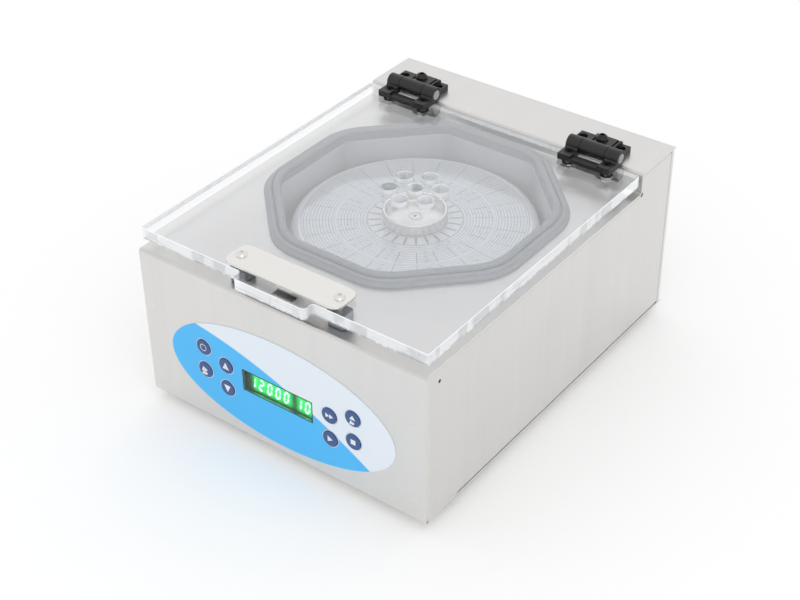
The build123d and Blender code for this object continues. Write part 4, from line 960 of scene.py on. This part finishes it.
@dataclass
class SubAssembly:
    """A group of pieces and CAD nodes that are finished together."""

    frame: dict[str, Any]
    body: str = "case"
    ease: float = 0.45

    def dress(self, finish: Finish, *nodes: str) -> None:
        """Give CAD nodes a finish.

        Args:
            finish: the finish.
            nodes: names of the CAD nodes.
        """
        for name in nodes:
            wear(self.frame["nodes"][name], finish)

    def finish_piece(self, piece: bpy.types.Object, finish: Finish, slot: str,
                     body: Optional[str] = None) -> None:
        """Dress a new piece and let it ride on its body.

        Args:
            piece: the finished mesh.
            finish: its finish.
            slot: not used.
            body: the body that carries it, or this group's own.
        """
        wear(piece, finish)
        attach(piece, body or self.body)
        LOG.info("%s rides on %s", piece.name, body or self.body)

    def eased(self, node: str, finish: Finish, slot: str, ease: Optional[float] = None,
              segments: int = 3, angle: float = 32.0) -> bpy.types.Object:
        """Replace a CAD node by a copy with eased edges.

        Args:
            node: the CAD node.
            finish: its finish.
            slot: not used.
            ease: width of the eased edge, in millimetres, or this group's own.
            segments: steps across the edge.
            angle: least angle between faces that counts as an edge, in degrees.

        Returns:
            The new piece.
        """
        piece = copy_of(self.frame["nodes"][node])
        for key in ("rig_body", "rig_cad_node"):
            if key in piece:
                del piece[key]
        piece.name = node + "_eased"
        piece.data.name = piece.name
        edit(piece)
        bpy.ops.mesh.select_all(action="SELECT")
        bpy.ops.mesh.remove_doubles(threshold=0.002 * MM)
        bpy.ops.mesh.customdata_custom_splitnormals_clear()
        bpy.ops.mesh.mark_sharp(clear=True)
        bpy.ops.mesh.dissolve_limited(angle_limit=math.radians(0.5))
        leave_edit()
        only(piece)
        bpy.ops.object.shade_smooth()
        width = (self.ease if ease is None else ease) * MM
        add_modifier(piece, "BEVEL", width=width, segments=segments, limit_method="ANGLE",
                     angle_limit=math.radians(angle), use_clamp_overlap=True, harden_normals=True)
        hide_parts(node)
        body = next(name for name, nodes in self.bodies().items() if node in nodes)
        self.finish_piece(piece, finish, slot, body)
        return piece

    def bodies(self) -> dict[str, list[str]]:
        """The nodes of each body."""
        return self.frame["record"]["behaviour"]["bodies"]


@dataclass
class KeySpot:
    """A key's place on the front, in millimetres, and its sign."""

    x: float
    z: float
    icon: Icon


@dataclass
class CasePanels(SubAssembly):
    """Folded sheets, studs, feet and inner parts of the case."""

    def build(self) -> None:
        """Dress the case."""
        self.dress(CASE_SHEET, "case_shell")
        self.dress(SHADED_SIDE_SHEET, "side_panel_left", "side_panel_right")
        self.dress(REAR_SHEET, "rear_panel", "base_plate")
        self.dress(FLUSH_STUD, "panel_studs")
        self.dress(BRIGHT_SCREW, "case_screws", "board_standoffs", "lock_bolt", "lid_strike")
        self.dress(BLACK_RUBBER, "rubber_feet", "motor_isolators")
        self.dress(MOTOR_METAL, "motor_can", "motor_end_cap", "motor_plate", "motor_posts", "lock_bracket")
        self.dress(DARK_IRON, "motor_stator", "motor_magnet", "lock_solenoid", "power_parts")
        self.dress(BRIGHT_SCREW, "motor_bearings", "rotor_shaft")
        self.dress(BOARD, "control_board", "power_board")
        self.dress(FITTING_PLASTIC, "key_switches")


@dataclass
class Chamber(SubAssembly):
    """Octagonal chamber and its gasket."""

    def build(self) -> None:
        """Dress the walls and the gasket."""
        self.dress(CHAMBER_SHEET, "chamber_tub", "chamber_floor")
        self.dress(GASKET_RUBBER, "chamber_gasket")


@dataclass
class ControlPanel(SubAssembly):
    """Overlay, keys with their signs, and the lit display; sizes in millimetres."""

    face_y: float = -161.25
    overlay: float = 0.5
    ring_outer: float = 7.35
    ring_width: float = 0.62
    ring_height: float = 0.18
    key_proud: float = 1.15
    digit_height: float = 10.6
    digit_width: float = 5.0
    stroke: float = 1.6
    stroke_gap: float = 0.3
    slant: float = 0.14
    digit_z: float = 59.9
    digit_depth: float = 2.4
    window: tuple[float, float, float, float] = (-33.4, 29.6, 52.0, 69.4)
    bezel_width: float = 0.7
    figures: dict[float, str] = field(default_factory=lambda: {
        -26.6: "1", -18.9: "2", -11.2: "0", -3.5: "0", 4.2: "0", 15.8: "1", 23.5: "0",
    })
    keys: dict[str, KeySpot] = field(default_factory=lambda: {
        "key_left_top": KeySpot(-70.1, 73.5, Icon.DIAL),
        "key_left_bottom": KeySpot(-70.1, 53.1, Icon.LIST),
        "key_up": KeySpot(-49.3, 65.9, Icon.UP),
        "key_down": KeySpot(-49.3, 45.5, Icon.DOWN),
        "key_right_top": KeySpot(66.5, 73.7, Icon.OPEN),
        "key_right_bottom": KeySpot(66.5, 53.1, Icon.STOP),
        "key_start": KeySpot(45.8, 66.3, Icon.FAST),
        "key_stop": KeySpot(45.8, 45.5, Icon.PLAY),
    })
    segments_of: dict[str, str] = field(default_factory=lambda: {"0": "abcdef", "1": "bc", "2": "abged"})

    def build(self) -> None:
        """Dress the panel and add rims, signs and digits."""
        self.dress(OVERLAY, "front_overlay")
        self.dress(LENS, "display_lens")
        self.dress(DISPLAY_FACE, "display_module")
        self.dress(KEY_FILM, *self.keys)
        self.rims()
        for name, spot in self.keys.items():
            self.sign(name, spot)
        self.digits()
        self.bezel()

    def rims(self) -> None:
        """A pale embossed rim round every key."""
        back = self.face_y - self.overlay + 0.02
        first: Optional[bpy.types.Object] = None
        rims = []
        for spot in self.keys.values():
            if first is None:
                first = printed_ring(self.ring_outer, self.ring_width, (0, back, 0), self.ring_height)
            rim = copy_of(first)
            rim.data.transform(Matrix.Translation(Vector((spot.x, 0, spot.z)) * MM))
            rims.append(rim)
        bpy.data.objects.remove(first)
        self.finish_piece(join(rims, "key_rims"), KEY_RIM, "overlay_print")

    def sign(self, name: str, spot: KeySpot) -> None:
        """The printed sign on one key.

        Args:
            name: the key's node and body.
            spot: its place and sign.
        """
        y = self.face_y - self.key_proud - 0.19
        x, z = spot.x, spot.z
        shapes: list[bpy.types.Object] = []
        if spot.icon in (Icon.UP, Icon.DOWN):
            turn, lift = (0.0, -0.7) if spot.icon is Icon.UP else (180.0, 0.7)
            shapes.append(printed_shape(3, 3.7, (x, y, z + lift), turn, stretch=(0.95, 1.1)))
        elif spot.icon is Icon.PLAY:
            shapes.append(printed_shape(3, 3.0, (x - 0.5, y, z), -90.0))
        elif spot.icon is Icon.STOP:
            shapes.append(printed_shape(4, 3.0, (x, y, z), 45.0))
        elif spot.icon is Icon.FAST:
            shapes += [printed_shape(3, 2.3, (x + dx, y, z), -90.0) for dx in (-1.9, 1.5)]
        elif spot.icon is Icon.OPEN:
            shapes.append(printed_shape(3, 2.6, (x, y, z + 0.6), 0.0, stretch=(1.15, 0.95)))
            shapes.append(printed_shape(4, 0.75, (x, y, z - 2.4), 45.0, stretch=(4.6, 1.0)))
        elif spot.icon is Icon.LIST:
            shapes += [
                printed_shape(4, 0.85, (x, y, z + dz), 45.0, stretch=(4.8, 1.0)) for dz in (-1.6, 1.6)
            ]
        else:
            shapes.append(printed_ring(3.0, 0.55, (x, y, z), 0.12))
            shapes.append(printed_shape(4, 0.4, (x, y, z + 1.0), 45.0, stretch=(1.0, 3.4)))
        self.finish_piece(join(shapes, name + "_sign"), WHITE_INK, "overlay_print", name)

    def segment(self, start: tuple[float, float], end: tuple[float, float]) -> bpy.types.Object:
        """One bar of a digit, a pointed hexagon.

        Args:
            start: its first end, across and up, in millimetres.
            end: its other end.

        Returns:
            The bar, in the module's face.
        """
        run, rise = end[0] - start[0], end[1] - start[1]
        length = math.hypot(run, rise) - self.stroke_gap
        middle = ((start[0] + end[0]) / 2, self.face_y + self.digit_depth,
                  (start[1] + end[1]) / 2)
        bar = printed_shape(6, 1.0, middle, 0.0, 0.1, (length / 2, self.stroke / 1.732))
        half_flat = length / 2 - self.stroke / 2
        for vertex in bar.data.vertices:
            across = vertex.co.x / MM - middle[0]
            up = vertex.co.z / MM - middle[2]
            if abs(across) < length / 2 * 0.8:
                across = math.copysign(half_flat, across)
            if abs(rise) > abs(run):
                across, up = up, across
            vertex.co.x = (middle[0] + across) * MM
            vertex.co.z = (middle[2] + up) * MM
        return bar

    def digits(self) -> None:
        """The lit digits, slanted as on a seven-segment display."""
        half_h, half_w = self.digit_height / 2, self.digit_width / 2
        inset = self.stroke / 2
        top, low = half_h - inset, -half_h + inset
        left, right = -half_w + inset, half_w - inset
        ends = {
            "a": ((left, top), (right, top)), "d": ((left, low), (right, low)),
            "g": ((left, 0), (right, 0)), "f": ((left, 0), (left, top)),
            "b": ((right, 0), (right, top)), "e": ((left, low), (left, 0)),
            "c": ((right, low), (right, 0)),
        }
        bars = []
        for x, figure in self.figures.items():
            for letter in self.segments_of[figure]:
                start, end = ends[letter]
                bar = self.segment((x + start[0], self.digit_z + start[1]),
                                   (x + end[0], self.digit_z + end[1]))
                for vertex in bar.data.vertices:
                    vertex.co.x += (vertex.co.z - self.digit_z * MM) * self.slant
                bars.append(bar)
        self.finish_piece(join(bars, "display_digits"), SEGMENT, "smoked_lens")

    def bezel(self) -> None:
        """A thin dark line printed round the window."""
        x0, x1, z0, z1 = self.window
        middle = ((x0 + x1) / 2, self.face_y - self.overlay + 0.03, (z0 + z1) / 2)
        bpy.ops.mesh.primitive_plane_add(size=MM)
        piece = bpy.context.active_object
        border = 2 * self.bezel_width
        scale = Matrix.Diagonal((x1 - x0 + border, z1 - z0 + border, 1.0, 1.0))
        upright = Matrix.Rotation(math.radians(90), 4, "X")
        piece.matrix_world = Matrix.Translation(Vector(middle) * MM) @ upright @ scale
        settle(piece)
        edit(piece)
        bpy.ops.mesh.select_all(action="SELECT")
        bpy.ops.mesh.inset(thickness=self.bezel_width * MM)
        pick_faces(piece, lambda face: face.calc_area() > 0.8 * (x1 - x0) * (z1 - z0) * MM * MM)
        bpy.ops.mesh.delete(type="FACE")
        bpy.ops.mesh.select_all(action="SELECT")
        bpy.ops.mesh.extrude_region_move(TRANSFORM_OT_translate={"value": (0.0, -0.07 * MM, 0.0)})
        bpy.ops.mesh.select_all(action="SELECT")
        bpy.ops.mesh.normals_make_consistent(inside=False)
        leave_edit()
        piece.name = "window_bezel"
        self.finish_piece(piece, FITTING_PLASTIC, "black_plastic")


@dataclass
class Lid(SubAssembly):
    """Clear lid with its grip plate, dark pads that stand in for the shade under the grip, and screws; sizes
    in millimetres.
    """

    body: str = "lid"
    ease: float = 0.35
    shade_pad_ease: float = 0.5
    edge_tilt: float = 0.8

    def build(self) -> None:
        """Dress the lid, easing the edges that catch light."""
        panel = self.eased("lid_panel", LID_SHEET, "clear_sheet", segments=2, angle=40.0)
        panel.data.materials.append(LID_EDGE.material())
        edit(panel)
        pick_faces(panel, lambda face: abs(face.normal.z) < self.edge_tilt)
        panel.active_material_index = 1
        bpy.ops.object.material_slot_assign()
        leave_edit()
        self.dress(GRIP_SHEET, "grip_plate")
        self.dress(BRIGHT_SCREW, "grip_spacers")
        self.dress(LID_SCREWS, "lid_screws")
        # The dark grey rubber pads under the grip are painted shade: they stand where the grip plate casts
        # shade and a dark reflection.
        self.eased("lid_buffers", GASKET_RUBBER, "grey_rubber", self.shade_pad_ease)


@dataclass
class Hinges(SubAssembly):
    """Black friction hinges."""

    body: str = "lid"

    def build(self) -> None:
        """Ease the moulded leaves and dress their hardware."""
        for side in ("left", "right"):
            self.eased("hinge_lid_leaf_" + side, HINGE_PLASTIC, "black_plastic")
            self.eased("hinge_base_" + side, HINGE_PLASTIC, "black_plastic")
        self.dress(BRIGHT_SCREW, "hinge_washers")
        self.dress(PIN_STEEL, "hinge_pins")
        self.dress(BLACK_SCREW, "hinge_torque_screws")


@dataclass
class Rotor(SubAssembly):
    """Rotor with its printed cover, its numerals and its hub cup; sizes in millimetres."""

    body: str = "rotor"
    centre_y: float = 0.25
    face_z: float = 120.0
    radii: tuple[float, ...] = (40.0, 45.5, 51.0, 56.5, 65.0, 70.5, 76.0)
    columns: int = 12
    text: float = 2.4
    print_height: float = 0.05
    step: int = 10

    def build(self) -> None:
        """Dress the rotor and print its numerals."""
        self.dress(ROTOR_COVER, "rotor_cover")
        self.dress(ROTOR_METAL, "rotor_disc")
        self.dress(HUB_METAL, "hub_cup")
        self.numerals()

    def numerals(self) -> None:
        """Rows of small numbers that run out along every second spoke."""
        prints = []
        for column in range(self.columns):
            angle = 2 * math.pi * (column + 0.5) / self.columns
            for row, radius in enumerate(self.radii):
                bpy.ops.object.text_add()
                text = bpy.context.active_object
                text.data.body = str(self.step * (row + 1))
                text.data.size = self.text * MM
                text.data.align_x = "CENTER"
                text.data.align_y = "CENTER"
                text.data.extrude = self.print_height / 2 * MM
                text.data.resolution_u = 2
                x = radius * math.cos(angle)
                y = radius * math.sin(angle) + self.centre_y
                turn = Matrix.Rotation(angle + math.pi / 2, 4, "Z")
                height = self.face_z + self.print_height
                text.matrix_world = Matrix.Translation(Vector((x, y, height)) * MM) @ turn
                only(text)
                bpy.ops.object.convert(target="MESH")
                settle(text)
                prints.append(text)
        self.finish_piece(join(prints, "chart_numerals"), CHART_INK, "clear_cover")


@dataclass
class RearFittings(SubAssembly):
    """Mains inlet and rocker switch; sizes in millimetres."""

    ease: float = 0.3
    inlet_ease: float = 0.4

    def build(self) -> None:
        """Ease and dress the fittings."""
        self.eased("inlet_socket", FITTING_PLASTIC, "black_plastic", self.inlet_ease)
        self.eased("switch_frame", FITTING_PLASTIC, "black_plastic")
        self.eased("switch_rocker", FITTING_PLASTIC, "black_plastic")
        self.dress(BRIGHT_SCREW, "inlet_pins")


@dataclass
class Studio:
    """Camera, floor and lights; the camera in millimetres, floor and lights in metres."""

    focal_pixels: float = 1580.93
    image_width: float = 800.0
    sensor: float = 36.0
    azimuth: float = 37.1475
    elevation: float = 35.7445
    roll: float = -0.6617
    position: Point = (590.3, -798.8, 765.6)
    floor_size: float = 30.0
    world: float = 0.86
    aim: Point = (0.0, 0.0, 0.1)

    def camera(self) -> None:
        """The photograph's viewpoint, with no shift."""
        across, rise, spin = (math.radians(v) for v in (self.azimuth, self.elevation, self.roll))
        back = Vector((math.sin(across) * math.cos(rise), -math.cos(across) * math.cos(rise), math.sin(rise)))
        right = (-back).cross(Vector((0, 0, 1))).normalized()
        up = right.cross(-back)
        turned_right = right * math.cos(spin) + up * math.sin(spin)
        turned_up = up * math.cos(spin) - right * math.sin(spin)
        data = bpy.data.cameras.new("camera")
        data.sensor_width = self.sensor
        data.lens = self.focal_pixels * self.sensor / self.image_width
        data.clip_start, data.clip_end = 0.05, 100.0
        camera = bpy.data.objects.new("camera", data)
        bpy.context.scene.collection.objects.link(camera)
        rows = Matrix((turned_right, turned_up, back)).transposed()
        camera.matrix_world = Matrix.Translation(Vector(self.position) * MM) @ rows.to_4x4()
        bpy.context.scene.camera = camera

    def floor(self) -> None:
        """A wide pale floor."""
        bpy.ops.mesh.primitive_plane_add(size=self.floor_size)
        floor = bpy.context.active_object
        floor.name = "studio_floor"
        wear(floor, FLOOR)

    def softbox(self, name: str, place: Point, size: tuple[float, float], power: float) -> None:
        """A rectangular soft light.

        Args:
            name: the light's name.
            place: its middle, in metres.
            size: its width and height, in metres.
            power: its power, in watts.
        """
        data = bpy.data.lights.new(name, "AREA")
        data.shape = "RECTANGLE"
        data.size, data.size_y = size
        data.energy = power
        light = bpy.data.objects.new(name, data)
        bpy.context.scene.collection.objects.link(light)
        way = Vector(self.aim) - Vector(place)
        light.matrix_world = Matrix.Translation(place) @ way.to_track_quat("-Z", "Y").to_matrix().to_4x4()

    def lights(self) -> None:
        """A pale room, a soft key light and a low soft light that the deck mirrors."""
        world = bpy.data.worlds.new("room")
        world.use_nodes = True
        background = world.node_tree.nodes["Background"]
        background.inputs["Color"].default_value = (1.0, 1.0, 1.0, 1.0)
        background.inputs["Strength"].default_value = self.world
        bpy.context.scene.world = world
        self.softbox("key_light", (1.0, -1.1, 1.7), (1.4, 1.4), 3.0)
        self.softbox("deck_light", (-1.35, 1.75, 1.75), (1.9, 1.5), 1.8)

    def build(self) -> None:
        """Set up the studio."""
        self.camera()
        self.floor()
        self.lights()
        bpy.context.scene.view_settings.view_transform = "Standard"


def main() -> None:
    """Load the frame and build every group."""
    logging.basicConfig(level=logging.INFO, format="%(name)s: %(message)s")
    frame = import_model()
    Studio().build()
    CasePanels(frame).build()
    Chamber(frame).build()
    ControlPanel(frame).build()
    Lid(frame).build()
    Hinges(frame).build()
    Rotor(frame).build()
    RearFittings(frame).build()


if __name__ == "__main__":
    main()
